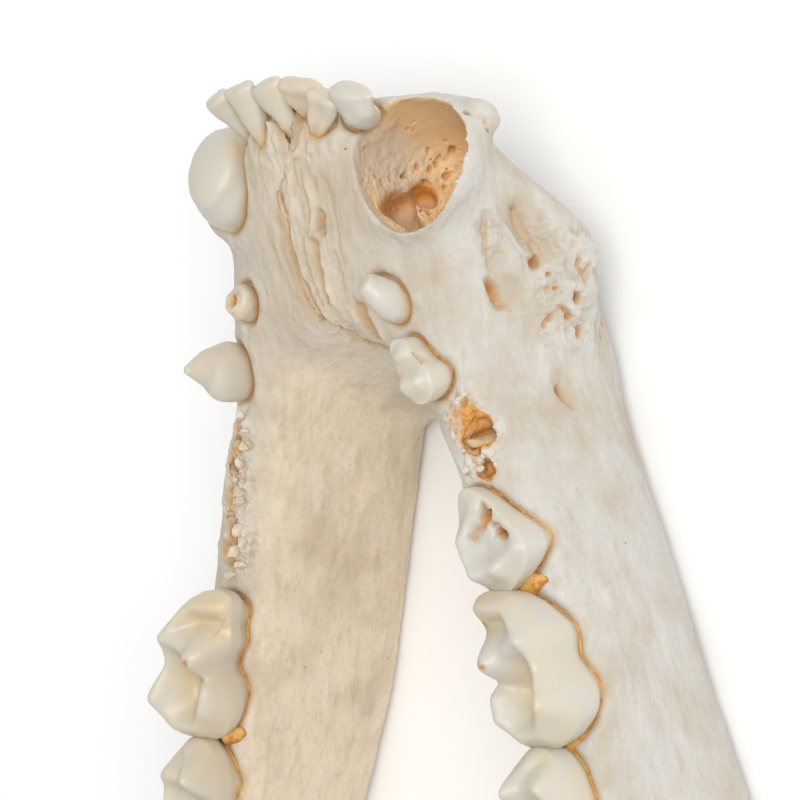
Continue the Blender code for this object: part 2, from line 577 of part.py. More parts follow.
def grinder(name, middle, heading, length, width, gum, outline, crests, basin, side):
    """A grinding tooth: root, neck, bulging walls and a chewing face with crests."""
    turn = radians(heading)
    ahead = np.array((-sin(turn), -cos(turn)))
    outwards = np.array((cos(turn), -sin(turn)))
    curve = closed_curve(outline, GRINDER_SIDES)
    half = np.array((length, width)) / 2
    rings = []
    belly = GRINDER_WALLS[-1][1]
    for share, level in GRINDER_WALLS:
        drop = OUTER_NECK_DROP * min(max(belly - level, 0), 1)
        rings.append([(u * share, v * share, level - drop * (v + 1) / 2) for u, v in curve])
    for share in GRINDER_FACE:
        roll = (1 - max((share - ROLL_FROM) / (1 - ROLL_FROM), 0) ** 2.4) ** 0.6
        ring = []
        for u, v in curve:
            top = crest_height(u * share, v * share, crests, basin, *half)
            ring.append((u * share, v * share, belly + (top - belly) * roll))
        rings.append(ring)
    placed = []
    for ring in rings:
        loop = []
        for u, v, z in ring:
            x, y = np.array(middle) + ahead * u * half[0] + outwards * v * half[1]
            loop.append((x, y, gum + z))
        placed.append(loop)
    return loft(name, placed, side)


def incisor(side, root, neck, tip, half_width):
    """A narrow front tooth that broadens to a worn edge."""
    path = np.array((root, neck, tip))
    centre = np.stack([smooth_values((0, 1, 2), path[:, i], INCISOR_ALONG) for i in range(3)], 1)
    forward = np.gradient(centre, axis=0)
    forward /= np.linalg.norm(forward, axis=1)[:, None]
    stages = list(zip(centre, forward, half_width * np.array(INCISOR_ACROSS), INCISOR_DEEP))
    root_point, root_way, root_wide, root_deep = stages[0]
    point, way, wide, deep = stages[-1]
    for shift, share in INCISOR_DOME:
        stages.insert(0, (root_point - root_way * shift, root_way, root_wide * share, root_deep * share))
        stages.append((point + way * shift, way, wide * share, deep * share))
    out = np.array((1.0, 0.0, 0.0))
    loops = []
    for point, way, wide, deep in stages:
        first = out - way * np.dot(out, way)
        first /= np.linalg.norm(first)
        second = np.cross(way, first)
        loops.append([
            tuple(point + wide * cos(a) * first + deep * sin(a) * second)
            for a in np.linspace(0, 2 * pi, INCISOR_SIDES, endpoint=False)
        ])
    return loft("incisor", loops, side)


def teeth(side):
    """All the teeth and stumps of one side."""
    pieces = [incisor(*tooth) for tooth in INCISORS if tooth[0] == side]
    for name, sides, *tooth in GRINDERS:
        if side in sides:
            pieces.append(grinder(name, *tooth, side))
    for name, sides, path, radii in PEGS:
        if side in sides:
            pieces.append(tube(name, path, radii, side, steps=7, points=12))
    return pieces


def build_bone(side, name):
    root_radii = FILLED_ROOT_RADII if side > 0 else OPEN_ROOT_RADII
    pieces = [
        dentary_body(side),
        chin_block(side),
        ramus_plate(side),
        condyle(side),
        tube("neck", NECK_PATH, NECK_RADII, side),
        tube("angle", ANGLE_PATH, ANGLE_RADII, side),
        tube("canine_root", CANINE_ROOT_PATH, root_radii, side, points=24, egg=CANINE_EGG),
    ]
    if side < 0:
        pieces.append(tube("knob", KNOB_PATH, KNOB_RADII, side, points=10))
    bone = join(pieces, name)
    blend_bone(bone, BONE_VOXEL, BONE_SMOOTHING)
    soften_places(bone, side)
    push_relief(bone, side)
    cutters = [box("midline", (-30, -40, -40), (SYMPHYSIS_GAP / 2, 80, 40), side)]
    for number, hole in enumerate(MENTAL_HOLES + (MANDIBULAR_HOLE,)):
        cutters.append(nerve_hole(f"hole_{number}", *hole, side))
    slots = LEFT_SLOTS if side > 0 else RIGHT_SLOTS
    cutters += [tube("slot", path, radii, side, steps=6, points=10) for path, radii in slots]
    if side < 0:
        cutters.append(tube("socket", SOCKET_PATH, SOCKET_RADII, side, points=24, egg=CANINE_EGG))
    cut(bone, cutters)
    thin_out(bone, BONE_TRIANGLES)
    fuse(bone, teeth(side))
    keep_largest(bone)
    return bone


def thin_out(obj, target):
    """Splits the faces into triangles and leaves about the target number of them."""
    obj.modifiers.new("split", "TRIANGULATE")
    apply_modifiers(obj)
    decimate = obj.modifiers.new("thin", "DECIMATE")
    decimate.ratio = target / len(obj.data.polygons)
    apply_modifiers(obj)


def bone_material(name, colour):
    material = bpy.data.materials.new(name)
    material.use_nodes = True
    shader = material.node_tree.nodes["Principled BSDF"]
    shader.inputs["Base Color"].default_value = colour
    shader.inputs["Roughness"].default_value = BONE_ROUGHNESS
    shader.inputs["Metallic"].default_value = 0.0
    return material


def rest_angle(points):
    """The slope of the line that touches the jaw from below both in front of its middle and behind it."""
    middle = points[:, 1].mean()
    front, rear = points[points[:, 1] < middle], points[points[:, 1] >= middle]
    slope = 0.0
    for _ in range(RESTING_ROUNDS):
        a = front[(front[:, 2] - slope * front[:, 1]).argmin()]
        b = rear[(rear[:, 2] - slope * rear[:, 1]).argmin()]
        slope = (b[2] - a[2]) / (b[1] - a[1])
    return atan(slope)


def set_down(bones):
    """Tips the jaw as it rests and lifts it, with the origin under the middle of its box."""
    rest = bpy.data.objects.new("rest", None)
    bpy.context.scene.collection.objects.link(rest)
    points = np.array([v.co for bone in bones for v in bone.data.vertices])
    angle = rest_angle(points)
    tilted = points @ np.array(Matrix.Rotation(-angle, 3, "X")).T
    low, high = tilted.min(0), tilted.max(0)
    rest.rotation_euler.x = -angle
    rest.location = (-(low[0] + high[0]) / 2, -(low[1] + high[1]) / 2, -low[2])
    for bone in bones:
        bone.parent = rest


def main():
    clear_scene()
    jaw = bpy.data.collections.new("raccoon_lower_jaw")
    bpy.context.scene.collection.children.link(jaw)
    bones = []
    for side, name in ((1, "dentary_left"), (-1, "dentary_right")):
        bone = build_bone(side, name)
        bone.data.name = name
        bone.data.materials.clear()
        bone.data.materials.append(bone_material(name, BONE_COLOUR))
        bone.data.shade_smooth()
        bpy.context.scene.collection.objects.unlink(bone)
        jaw.objects.link(bone)
        bones.append(bone)
    set_down(bones)


main()
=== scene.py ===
"""Looks of the raccoon lower jaw: two dentary bones with worn and broken teeth, seen from above.

Shapes are in millimetres in the jaw's own frame, as in the solids: y runs back along the tooth rows,
z rises from the gum line and x is the distance out from the midline. place() tips the finished pieces
as the jaw rests and brings them to metres.
"""

from itertools import product
from math import cos, pi, radians, sin

import bpy
import bmesh
import numpy as np
from mathutils import Matrix, Vector
from mathutils.bvhtree import BVHTree


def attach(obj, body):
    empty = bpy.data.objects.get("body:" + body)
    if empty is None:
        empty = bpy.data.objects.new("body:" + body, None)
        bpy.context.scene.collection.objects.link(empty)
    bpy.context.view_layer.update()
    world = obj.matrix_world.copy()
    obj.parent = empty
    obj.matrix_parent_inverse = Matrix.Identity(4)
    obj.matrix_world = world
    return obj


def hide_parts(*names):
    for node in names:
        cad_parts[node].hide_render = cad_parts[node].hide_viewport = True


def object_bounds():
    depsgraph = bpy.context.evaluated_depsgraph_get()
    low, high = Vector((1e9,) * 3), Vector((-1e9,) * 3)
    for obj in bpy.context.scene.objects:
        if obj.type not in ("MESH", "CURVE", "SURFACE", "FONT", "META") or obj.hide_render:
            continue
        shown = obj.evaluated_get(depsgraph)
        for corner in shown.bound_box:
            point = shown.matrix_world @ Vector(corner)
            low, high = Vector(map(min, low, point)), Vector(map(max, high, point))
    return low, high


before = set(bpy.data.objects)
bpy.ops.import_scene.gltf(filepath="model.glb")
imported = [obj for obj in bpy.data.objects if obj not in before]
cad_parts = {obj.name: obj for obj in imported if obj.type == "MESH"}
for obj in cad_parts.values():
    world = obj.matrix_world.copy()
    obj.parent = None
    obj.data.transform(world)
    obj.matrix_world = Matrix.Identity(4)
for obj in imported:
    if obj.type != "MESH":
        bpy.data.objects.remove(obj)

CAD_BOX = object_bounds()
MM = 0.001

# How the jaw rests: its tip about x, and the lift that puts its lowest points on the floor
REST_TILT_DEG = 4.254
REST_SHIFT = (0.0, -20.463, 17.307)

# Camera: the direction that it looks from and the way up in the jaw's frame, and what it aims at
VIEW_FROM = (-0.70301, -0.10745, 0.70301)
VIEW_UP = (-0.02581, -0.98401, -0.17621)
VIEW_AIM = (-6.16, 0.0, 0.0)
VIEW_DISTANCE = 350.0
SENSOR_MM = 36.0
PHOTO_PIXELS = 800
PIXELS_PER_MM = 14.7

# The measure that sets the scale: the first molar's length, and its outline's length in half lengths
MOLAR_LENGTH = 11.5
MOLAR_REACH = 1.06

# Bone surface: voxels and smoothing of the first blend, of its creases, of the caves and of the skin
BLEND_VOXEL = 0.3
BLEND_SMOOTHING = 20
SOFT_SMOOTHING = 240
CAVE_SMOOTHING = 30
SKIN_VOXEL = 0.24
SKIN_SMOOTHING = 2

# Places smoothed further, where the bodies meet in a crease: centre and reach
SOFT_PLACES = (
    ((5.6, -8.0, -6.0), (4.2, 10.0, 9.0)),
    ((12.4, -6.0, -10.5), (3.6, 6.0, 4.0)),
    ((25.0, 54.0, -5.0), (4.0, 5.0, 6.0)),
)

# Sections across the bone: points from top to bottom, and how square they are above and below
SECTION_POINTS = 18
UPPER_POWER = 5.0
LOWER_POWER = 2.5

# Body of the dentary, as stations from the chin to the angle of the jaw
BODY_Y = (-15, -12, -9, -6, -3, 0, 4, 8, 13, 19, 24, 30, 35, 40, 46, 52, 56)
BODY_IN_X = (5.6, 5.2, 5.2, 5.4, 6.0, 7.0, 9.0, 10.2, 11.4, 12.7, 13.8, 15.2, 17.2, 19.4, 22.0, 24.0, 25.0)
BODY_OUT_X = (11.2, 10.2, 10.4, 11.0, 11.0, 11.9, 14.0, 15.8, 17.9, 20.0, 20.5, 21.0, 21.6,
              22.4, 24.0, 25.4, 26.0)
BODY_LOW_X = (7.8, 8.2, 8.7, 9.0, 9.2, 9.5, 9.8, 10.8, 12.4, 14.2, 15.8, 18.2, 19.9, 21.4, 23.2, 24.8, 25.8)
BODY_TOP_Z = (-1.4, -0.4, 0, 0, 0, 0, 0, 0, 0, 0.3, 0.9, 1.6, 1.2, -0.6, -2.6, -4.4, -6.2)
BODY_OUT_DROP = (2.0, 1.6, 1.2, 1.0, 1.0, 1.2, 1.3, 1.7, 1.9, 1.5, 1.1, 0.7, 0.4, 0.2, 0, 0, 0)
BODY_LOW_Z = (-9.0, -12.2, -14.4, -15.9, -16.6, -17.0, -17.0, -16.8, -16.4, -16.0, -15.6, -14.9, -14.0,
              -13.0, -12.0, -11.0, -9.4)
BODY_MID_WIDE = (7.0, 7.6, 8.0, 7.8, 7.6, 7.4, 7.3, 7.3, 7.4, 7.2, 6.8, 6.2, 5.4, 4.6, 3.6, 3.0, 2.6)
BODY_LOW_WIDE = (6.0, 6.4, 7.0, 7.2, 7.2, 7.0, 7.0, 7.0, 7.1, 7.2, 7.0, 6.4, 5.5, 4.8, 4.0, 3.4, 3.0)

# Chin, as level slices from the incisors' gum down to the lower border
CHIN_Z = (0.6, -1.2, -3.4, -6.4, -9.5, -12.4, -14.8, -16.2, -16.6)
CHIN_FRONT_Y = (-19.0, -20.9, -21.1, -19.9, -17.6, -14.4, -10.2, -6.2, -3.8)
CHIN_BACK_Y = (-6.4, -5.4, -4.2, -2.6, -1.2, 0.0, 0.6, 0.2, -1.0)
CHIN_WIDE = (6.4, 7.6, 8.6, 9.4, 10.0, 10.6, 10.6, 9.6, 8.4)
CHIN_TOP_SLOPE = 0.1
CHIN_LEVELS = 26
CHIN_POINTS = 17
CHIN_FLARE = 0.6

# Ramus, as level slices from the angle up to the tip of the coronoid process
RAMUS_Z = (-11.8, -9, -5, 0, 4, 8, 12, 16, 20, 23, 25.4, 27.2)
RAMUS_FRONT_Y = (37, 33, 31.5, 33.4, 35.6, 37.7, 39.8, 41.8, 43.8, 45.6, 47.8, 52.0)
RAMUS_BACK_Y = (46, 51.6, 55.4, 56.4, 58.8, 57.4, 55.8, 55.6, 56.6, 57.4, 57.2, 54.6)
RAMUS_CREST_WIDE = (2.0, 2.6, 3.6, 4.2, 4.2, 4.0, 3.7, 3.4, 3.1, 2.7, 2.3, 1.6)
RAMUS_PLATE_WIDE = (1.8, 2.2, 2.4, 2.4, 2.3, 2.1, 1.9, 1.8, 1.8, 1.8, 1.7, 1.4)
RAMUS_FRONT_X = 20.2
RAMUS_SPREAD = 0.25
RAMUS_LEAN = 0.03
RAMUS_LEVELS = 34
RAMUS_CREST_REACH = 4.5
RAMUS_CREST_SHARES = (0.7, 0.3)

# Condyle, its neck and the angular process
CONDYLE_CENTRE = (26.4, 60.0, 4.6)
CONDYLE_LENGTH = 14.0
CONDYLE_RADIUS = 2.9
CONDYLE_TOE_DEG = 8.0
CONDYLE_TAPER = 0.12
CONDYLE_FLATNESS = 0.92
CONDYLE_RINGS = 25
CONDYLE_SIDES = 32
NECK_PATH = ((23.6, 49, -4.0), (25.0, 54.6, 0.2), (26.0, 59.0, 3.4))
NECK_RADII = ((1.4, 1.8), (2.2, 2.8), (4.4, 2.6))
ANGLE_PATH = ((22.6, 43, -9.6), (24.2, 50.5, -8.6), (25.0, 56.5, -7.4), (25.2, 61.4, -5.4))
ANGLE_RADII = ((1.7, 2.6), (1.7, 3.0), (1.6, 2.5), (1.0, 1.2))

# Domed ends of rods, such as roots, stumps and holes
DOME_RINGS = 6
DOME_HEIGHT = 0.55

# Root of the canine, which swells the bone beside the chin, and the socket left where it is missing
CANINE_ROOT_PATH = ((8.6, -15.7, -2.6), (7.9, -13.6, -5.2), (8.5, -9.8, -8.4), (9.4, -4.0, -11.0))
OPEN_ROOT_RADII = ((4.5, 5.7), (4.1, 4.8), (4.4, 4.2), (3.8, 3.4))
FILLED_ROOT_RADII = ((4.0, 4.7), (3.9, 4.6), (4.4, 4.2), (3.8, 3.4))
CANINE_EGG = 0.12
SOCKET_PATH = ((10.2, -16.8, 2.0), (8.9, -15.9, -1.6), (8.3, -14.3, -4.8), (8.4, -11.4, -8.2))
SOCKET_RADII = ((4.0, 5.0), (3.9, 4.8), (3.2, 4.0), (1.8, 2.2))

# Broken sockets of lost premolars, as slots cut along the gum: path and radii
SLOTS = {
    1: (
        (((11.2, 1.2, 1.0), (11.3, 2.0, -0.6), (11.5, 2.4, -1.6)), ((0.8, 1.3), (0.7, 1.2), (0.5, 0.7))),
        (((12.2, 4.8, 0.8), (12.2, 4.8, -0.7), (12.4, 4.8, -1.7)), ((0.8, 1.3), (0.7, 1.2), (0.5, 0.7))),
        (((13.2, 8.6, 0.6), (13.3, 8.8, -1.0), (13.5, 9.0, -2.0)), ((1.0, 1.3), (0.9, 1.2), (0.6, 0.7))),
    ),
    -1: (
        (((11.6, 1.4, 1.4), (11.8, 2.6, -0.8), (11.9, 3.1, -2.8)), ((1.2, 1.8), (1.1, 1.6), (0.7, 0.9))),
        (((12.5, 5.3, 1.2), (12.4, 5.2, -0.7), (12.4, 5.0, -1.8)), ((0.8, 0.8), (0.7, 0.7), (0.5, 0.5))),
    ),
}
SLOT_TOP = -0.2
SLOT_STAIN = {1: 0.3, -1: 0.85}

# Hole for the nerve on the inner face: place, direction inwards and radius, then its depths with the shares of
# the radius there
MANDIBULAR_HOLE = ((21.4, 47.0, -3.4), (0.5, -0.85, -0.1), 1.3)
HOLE_PROFILE = ((-1.5, (1.2, 1.5)), (0.4, (1.0, 1.3)), (1.3, (0.7, 0.7)))

# Soft hollows and swellings of the bone: centre, reach and push
RELIEF = (
    ((26.0, 47.0, 3.0), (2.4, 9.0, 9.0), (-1.0, 0.0, 0.0)),
    ((25.0, 40.5, -3.0), (2.4, 6.0, 3.4), (-0.8, 0.0, 0.0)),
    ((11.4, -18.6, -7.0), (1.6, 1.8, 2.2), (0.2, -0.5, -0.3)),
    ((14.0, -8.2, -10.6), (3.6, 5.4, 3.6), (2.3, -0.3, -1.6)),
    ((6.4, -20.0, -3.0), (1.8, 1.0, 1.4), (0.0, -0.75, 0.3)),
)

# Finer hollows around the nerve holes and under the empty socket, each pressed in and painted with shade:
# centre, reach and depth
HOLLOWS = (
    ((12.3, -6.4, -5.5), (1.1, 1.1, 1.2), 0.55),
    ((12.5, -8.6, -5.0), (1.2, 1.6, 0.9), 0.35),
    ((13.2, -11.0, -7.3), (1.5, 1.6, 1.2), 0.7),
    ((13.5, -9.0, -8.2), (1.3, 1.2, 1.0), 0.45),
    ((13.4, 0.9, -8.8), (1.3, 1.5, 1.0), 0.45),
    ((13.3, -4.4, -8.6), (1.2, 0.8, 1.0), 0.25),
    ((10.2, -8.6, -1.4), (2.2, 1.4, 1.4), 0.3),
)

# Small open pits in the rough chin: centre, radius and depth
RIGHT_PITS = (
    ((13.5, -7.0, -8.5), 0.13, 0.3),
    ((13.7, -6.7, -9.3), 0.1, 0.3),
    ((13.6, -5.9, -8.8), 0.15, 0.3),
    ((14.0, -5.0, -10.5), 0.22, 0.7),
    ((13.9, -5.3, -10.3), 0.16, 0.5),
    ((13.6, -3.9, -9.9), 0.24, 0.6),
    ((13.6, -2.7, -10.8), 0.28, 0.7),
    ((12.1, -2.7, -14.7), 0.24, 0.5),
    ((12.7, -1.9, -13.9), 0.2, 0.4),
    ((12.9, -11.9, -7.2), 0.16, 0.4),
    ((13.1, -7.9, -7.9), 0.38, 1.3),
    ((12.9, -8.4, -7.6), 0.22, 0.6),
)

# Regions of fine relief: centre, reach and the number of times their faces are split
FINE_PLACES = {
    1: (
        ((4.0, -10.0, -1.0), (6.0, 11.0, 8.0), 1),
        ((9.6, -3.0, 0.0), (3.0, 4.0, 2.4), 1),
        ((12.4, 4.6, -0.6), (2.6, 7.6, 3.0), 2),
    ),
    -1: (
        ((4.0, -10.0, -1.0), (6.0, 11.0, 8.0), 1),
        ((8.6, -15.0, -4.0), (5.4, 6.4, 6.6), 2),
        ((13.2, -6.6, -9.4), (3.4, 7.6, 6.6), 2),
        ((13.0, 1.6, -9.2), (2.6, 3.0, 2.6), 1),
        ((11.6, 2.6, -0.6), (2.8, 5.0, 3.0), 2),
    ),
}

# Relief of plain bone: height and size of its waves, fibres and grain, and of its pores, which only a share
# of the cells of space have
WAVE_HEIGHT, WAVE_SIZE = 0.08, 4.0
FIBRE_HEIGHT, FIBRE_SIZE = 0.04, (0.8, 2.8, 0.8)
GRAIN_HEIGHT, GRAIN_SIZE = 0.03, (0.4, 1.0, 0.4)
PORE_DEPTH, PORE_SIZE, PORE_SHARE = 0.06, (0.7, 1.1, 0.7), 0.16

# Stained neck of a tooth: how near the bone counts, and how far the stain spreads
NECK_REACH, NECK_WIDTH = 1.5, 0.3

# Bone around a tooth: how near counts, the groove beside it, the raised margin beyond and the stained seam,
# which the canine mostly lacks
TOOTH_REACH = 1.6
TOOTH_FOOT_Z = -4.5
GROOVE_DEPTH, GROOVE_WIDTH = 0.34, 0.26
MARGIN_HEIGHT, MARGIN_AWAY, MARGIN_WIDTH = 0.1, 0.75, 0.4
SEAM_WIDTH = 0.32
CANINE_NECK = (7.8, -16.0, -1.0)
CANINE_REACH = 4.5
CANINE_CLEAN = 0.75

# Broken bone where premolars are lost: places and reach, relief, size of its cells, and stain
BROKEN_PLACES = {
    1: (
        ((10.9, 1.6, -0.4), (1.6, 2.4, 1.7)),
        ((11.8, 5.0, -0.6), (1.6, 2.6, 1.7)),
        ((12.7, 9.0, -0.6), (1.7, 3.4, 1.8)),
    ),
    -1: (
        ((11.0, 1.2, -0.6), (1.4, 1.8, 2.0)),
        ((11.8, 4.2, -0.8), (1.5, 1.8, 2.0)),
    ),
}
BROKEN_HEIGHT = {1: 0.6, -1: 0.45}
BROKEN_CELL = (0.6, 0.9, 0.7)
BROKEN_GRAIN = 0.3
BROKEN_STAIN = {1: 0.55, -1: 0.9}

# Rough bone of the chin on the right: places and reach
ROUGH_PLACES = (
    ((13.4, -8.6, -9.0), (1.8, 2.4, 2.0)),
    ((13.9, -6.0, -9.8), (1.8, 2.6, 2.2)),
    ((13.9, -7.4, -11.6), (1.8, 2.6, 2.2)),
    ((13.2, -3.6, -10.8), (1.8, 2.2, 3.0)),
    ((12.0, -10.2, -5.2), (1.0, 1.8, 1.0)),
)

# Rim of the empty socket: its height, its slope outwards and back, and where its colour fades out inwards
RIM_HEIGHT = -1.3
RIM_SLOPE = (0.447, -0.223)
SOCKET_FADE = (4.7, 1.3)

# Grinding teeth. Outlines and cusps are shares of a tooth's half length, forwards, and half width,
# outwards. A cusp or crest runs between two places, with its height in millimetres at each.
GRINDER_SIDES = 96
GRINDER_WALLS = ((0.66, -3.2), (0.84, -0.4), (0.98, 0.6), (1.0, 1.3))
WALL_RINGS = 14
FACE_RINGS = 34
OUTER_NECK_DROP = 1.2
MOLAR_OUTLINE = (
    (0.98, 0.05), (0.84, 0.38), (0.61, 0.68), (0.4, 0.88), (0.2, 0.92), (-0.02, 0.83), (-0.24, 0.92),
    (-0.48, 1.06), (-0.78, 0.95), (-1.0, 0.5), (-1.06, -0.05), (-1.0, -0.4), (-0.84, -0.74),
    (-0.5, -0.96), (-0.22, -0.86), (0.02, -0.6), (0.4, -0.82), (0.66, -0.77), (0.86, -0.86),
    (1.02, -0.76), (1.06, -0.4),
)
ROUND_OUTLINE = (
    (1.0, 0.0), (0.84, 0.6), (0.4, 0.95), (-0.2, 1.0), (-0.78, 0.66),
    (-1.0, 0.0), (-0.8, -0.62), (-0.3, -0.9), (0.1, -0.84), (0.4, -0.98), (0.84, -0.62),
)
WORN_OUTLINE = (
    (1.08, -0.1), (0.95, 0.12), (0.5, 0.48), (0.13, 0.74), (-0.2, 0.93), (-0.48, 0.93), (-0.72, 0.6),
    (-0.88, 0.15), (-0.97, -0.3), (-0.9, -0.62), (-0.6, -0.85), (-0.19, -0.98), (0.25, -1.05),
    (0.57, -0.78), (0.9, -0.55), (1.06, -0.35),
)
WAISTED_OUTLINE = (
    (1.0, 0.0), (0.84, 0.5), (0.4, 0.66), (0.1, 0.74), (-0.36, 1.0), (-0.8, 0.7),
    (-1.0, 0.0), (-0.84, -0.66), (-0.4, -0.98), (0.1, -0.72), (0.5, -0.62), (0.86, -0.45),
)
MOLAR_CRESTS = (
    (0.38, 0.66, 4.0, 0.84, 0.3, 3.3),
    (0.84, 0.3, 3.3, 0.92, -0.62, 2.8),
    (0.38, 0.66, 3.9, 0.24, -0.3, 3.6),
    (0.21, -0.33, 4.5, 0.21, -0.33, 4.5),
    (0.21, -0.33, 4.1, 0.22, -0.64, 3.2),
    (0.3, 0.62, 3.6, 0.0, 0.68, 3.1),
    (0.0, 0.68, 3.1, -0.5, 0.78, 4.4),
    (-0.5, 0.78, 4.3, -0.84, 0.3, 3.6),
    (-0.84, 0.3, 3.6, -0.8, -0.3, 3.4),
    (-0.8, -0.3, 3.4, -0.5, -0.62, 3.7),
    (-0.5, -0.62, 3.7, -0.26, -0.6, 3.6),
)
SECOND_MOLAR_CRESTS = (
    (0.5, 0.62, 3.9, 0.5, -0.45, 3.2),
    (0.52, -0.5, 4.4, 0.52, -0.5, 4.4),
    (0.52, -0.5, 3.6, 0.84, 0.0, 2.8),
    (-0.3, 0.66, 3.6, 0.5, 0.66, 3.2),
    (-0.3, -0.62, 3.9, -0.3, -0.62, 3.9),
    (-0.78, 0.0, 3.1, -0.3, 0.62, 3.2),
    (-0.78, 0.0, 3.1, -0.3, -0.6, 3.4),
)
WORN_CRESTS = (
    (0.25, -0.7, 2.5, -0.4, -0.6, 3.0),
    (-0.5, 0.0, 2.6, -0.4, -0.6, 2.8),
    (0.7, -0.1, 1.7, 0.25, -0.7, 2.3),
    (-0.35, 0.7, 1.9, -0.5, 0.0, 2.4),
)
LOW_CRESTS = (
    (0.5, 0.1, 1.7, 0.5, -0.1, 1.7),
    (-0.35, -0.3, 2.4, -0.45, 0.3, 2.2),
)
CREST_FALL = 1.75
CREST_ROUND = 0.85
CREST_BLEND = 4.0
FIRST_MOLAR_LENGTH = MOLAR_LENGTH / MOLAR_REACH
SECOND_MOLAR_LENGTH = 0.86 * MOLAR_LENGTH

# Name, sides that keep it, middle, heading inwards, length, width, gum height, outline, crests, basin
GRINDERS = (
    ("m2", (1, -1), (17.15, 28.3), 8, SECOND_MOLAR_LENGTH, 4.9, 1.1,
     ROUND_OUTLINE, SECOND_MOLAR_CRESTS, 1.7),
    ("m1", (1, -1), (15.85, 18.25), 13.6, FIRST_MOLAR_LENGTH, 6.7, 0.0,
     MOLAR_OUTLINE, MOLAR_CRESTS, 1.4),
    ("p4", (-1,), (13.6, 9.7), 23, 7.5, 5.5, -0.6, WORN_OUTLINE, WORN_CRESTS, 1.5),
    ("p2", (-1,), (8.5, -2.1), 30, 4.9, 2.8, -0.3, WAISTED_OUTLINE, LOW_CRESTS, 1.2),
)

# Single-rooted teeth and stumps: sides that keep them, path from root to tip, and radii along it
PEGS = (
    ("canine", (1,), ((7.7, -12.8, -6.0), (7.75, -14.6, -3.0), (7.75, -16.0, -0.6), (7.7, -16.8, 0.9)),
     ((2.1, 2.8), (2.6, 3.4), (2.65, 3.7), (2.15, 3.0))),
    ("p1", (-1,), ((7.1, -5.8, -2.2), (6.5, -6.9, -0.1), (5.8, -8.2, 1.2)),
     ((0.8, 1.0), (1.0, 1.4), (0.7, 0.9))),
    ("p1", (1,), ((8.0, -6.6, -2.4), (8.0, -7.3, 0.0), (8.1, -7.5, 0.7)),
     ((1.0, 1.1), (1.1, 1.3), (0.8, 0.9))),
    ("p2", (1,), ((9.9, -2.0, -2.6), (10.2, -2.5, 0.3), (10.5, -3.0, 1.9), (10.6, -3.2, 3.6)),
     ((1.1, 1.7), (1.3, 2.15), (0.95, 1.35), (0.3, 0.35))),
    ("p3", (1,), ((12.0, 3.4, -3.0), (11.8, 3.5, -1.3)), ((0.9, 0.8), (0.6, 0.7))),
    ("p4_front", (1,), ((12.8, 7.0, -3.2), (12.5, 6.8, -1.1)), ((1.1, 0.9), (0.8, 0.7))),
    ("p4_rear", (1,), ((14.2, 10.8, -3.2), (13.6, 10.8, -0.9)), ((1.3, 0.9), (0.9, 0.7))),
    ("p3_septum", (-1,), ((12.0, 3.4, -3.2), (11.6, 3.3, -0.9)), ((1.2, 0.6), (0.9, 0.35))),
)

# Incisors: name, side, root, neck and tip of the crown, half widths and half depths of neck and crown,
# and the crown's hollow behind
INCISORS = (
    ("i1", 1, (0.4, -16.0, -2.2), (0.3, -18.9, 0.0), (1.0, -22.2, 1.35), (0.58, 0.65), (1.55, 0.78), 0.0),
    ("i2", 1, (2.5, -15.0, -2.2), (2.75, -17.9, 0.0), (3.5, -22.15, 1.45), (0.55, 0.65), (1.4, 0.78), 0.0),
    ("i3", 1, (4.7, -16.2, -2.8), (5.3, -18.9, -0.5), (5.9, -21.6, 1.35), (0.5, 0.55), (1.2, 0.7), 0.0),
    ("i1", -1, (1.3, -16.8, -3.4), (1.2, -19.2, -0.9), (1.85, -22.0, 1.15), (0.45, 0.6), (2.1, 0.65), 0.1),
    ("i2", -1, (2.0, -15.2, -2.2), (2.2, -17.9, -0.1), (4.1, -21.0, 1.15), (0.55, 0.65), (1.3, 0.75), 0.25),
    ("i3", -1, (4.2, -19.3, -2.4), (5.9, -19.5, -0.4), (6.6, -21.2, 0.9), (1.2, 0.9), (1.75, 0.8), 0.0),
)

# Hollows worn into the teeth, stained in their depth: tooth, path, radius and depth
TOOTH_PITS = (
    ("p4_right", ((13.55, 7.2, 1.1), (13.6, 7.6, 1.0)), 0.4, 0.8),
    ("p4_right", ((13.6, 7.4, 1.0), (13.5, 8.3, 1.2), (14.2, 8.9, 1.0)), 0.24, 0.5),
    ("p4_right", ((14.3, 9.0, 1.0), (14.7, 9.2, 0.9)), 0.4, 0.9),
    ("p4_right", ((13.55, 7.7, 1.0), (13.1, 8.5, 1.15), (12.65, 9.2, 1.35)), 0.34, 0.45),
    ("p2_right", ((9.3, -3.4, 0.6), (9.5, -3.1, 0.6)), 0.34, 0.5),
    ("p1_left", ((8.0, -8.3, 1.0), (7.8, -7.7, 1.2)), 0.6, 1.0),
    ("m1_left", ((14.5, 17.5, 4.4), (14.6, 17.7, 4.3)), 0.24, 0.12),
    ("m1_right", ((14.5, 17.4, 4.4), (14.6, 17.5, 4.4)), 0.2, 0.12),
)

# Shape of an incisor: stations along its path, how far it has broadened and its hollow there, the slope of
# its worn end and the height of its domed one
INCISOR_STATIONS = (0.0, 0.9, 1.15, 1.45, 1.75, 2.0)
INCISOR_CROWN = (0.0, 0.0, 0.1, 0.35, 0.8, 1.0)
INCISOR_TROUGH = (0.0, 0.0, 0.3, 1.0, 1.2, 0.8)
INCISOR_WEAR = 0.15
INCISOR_DOME = 0.4

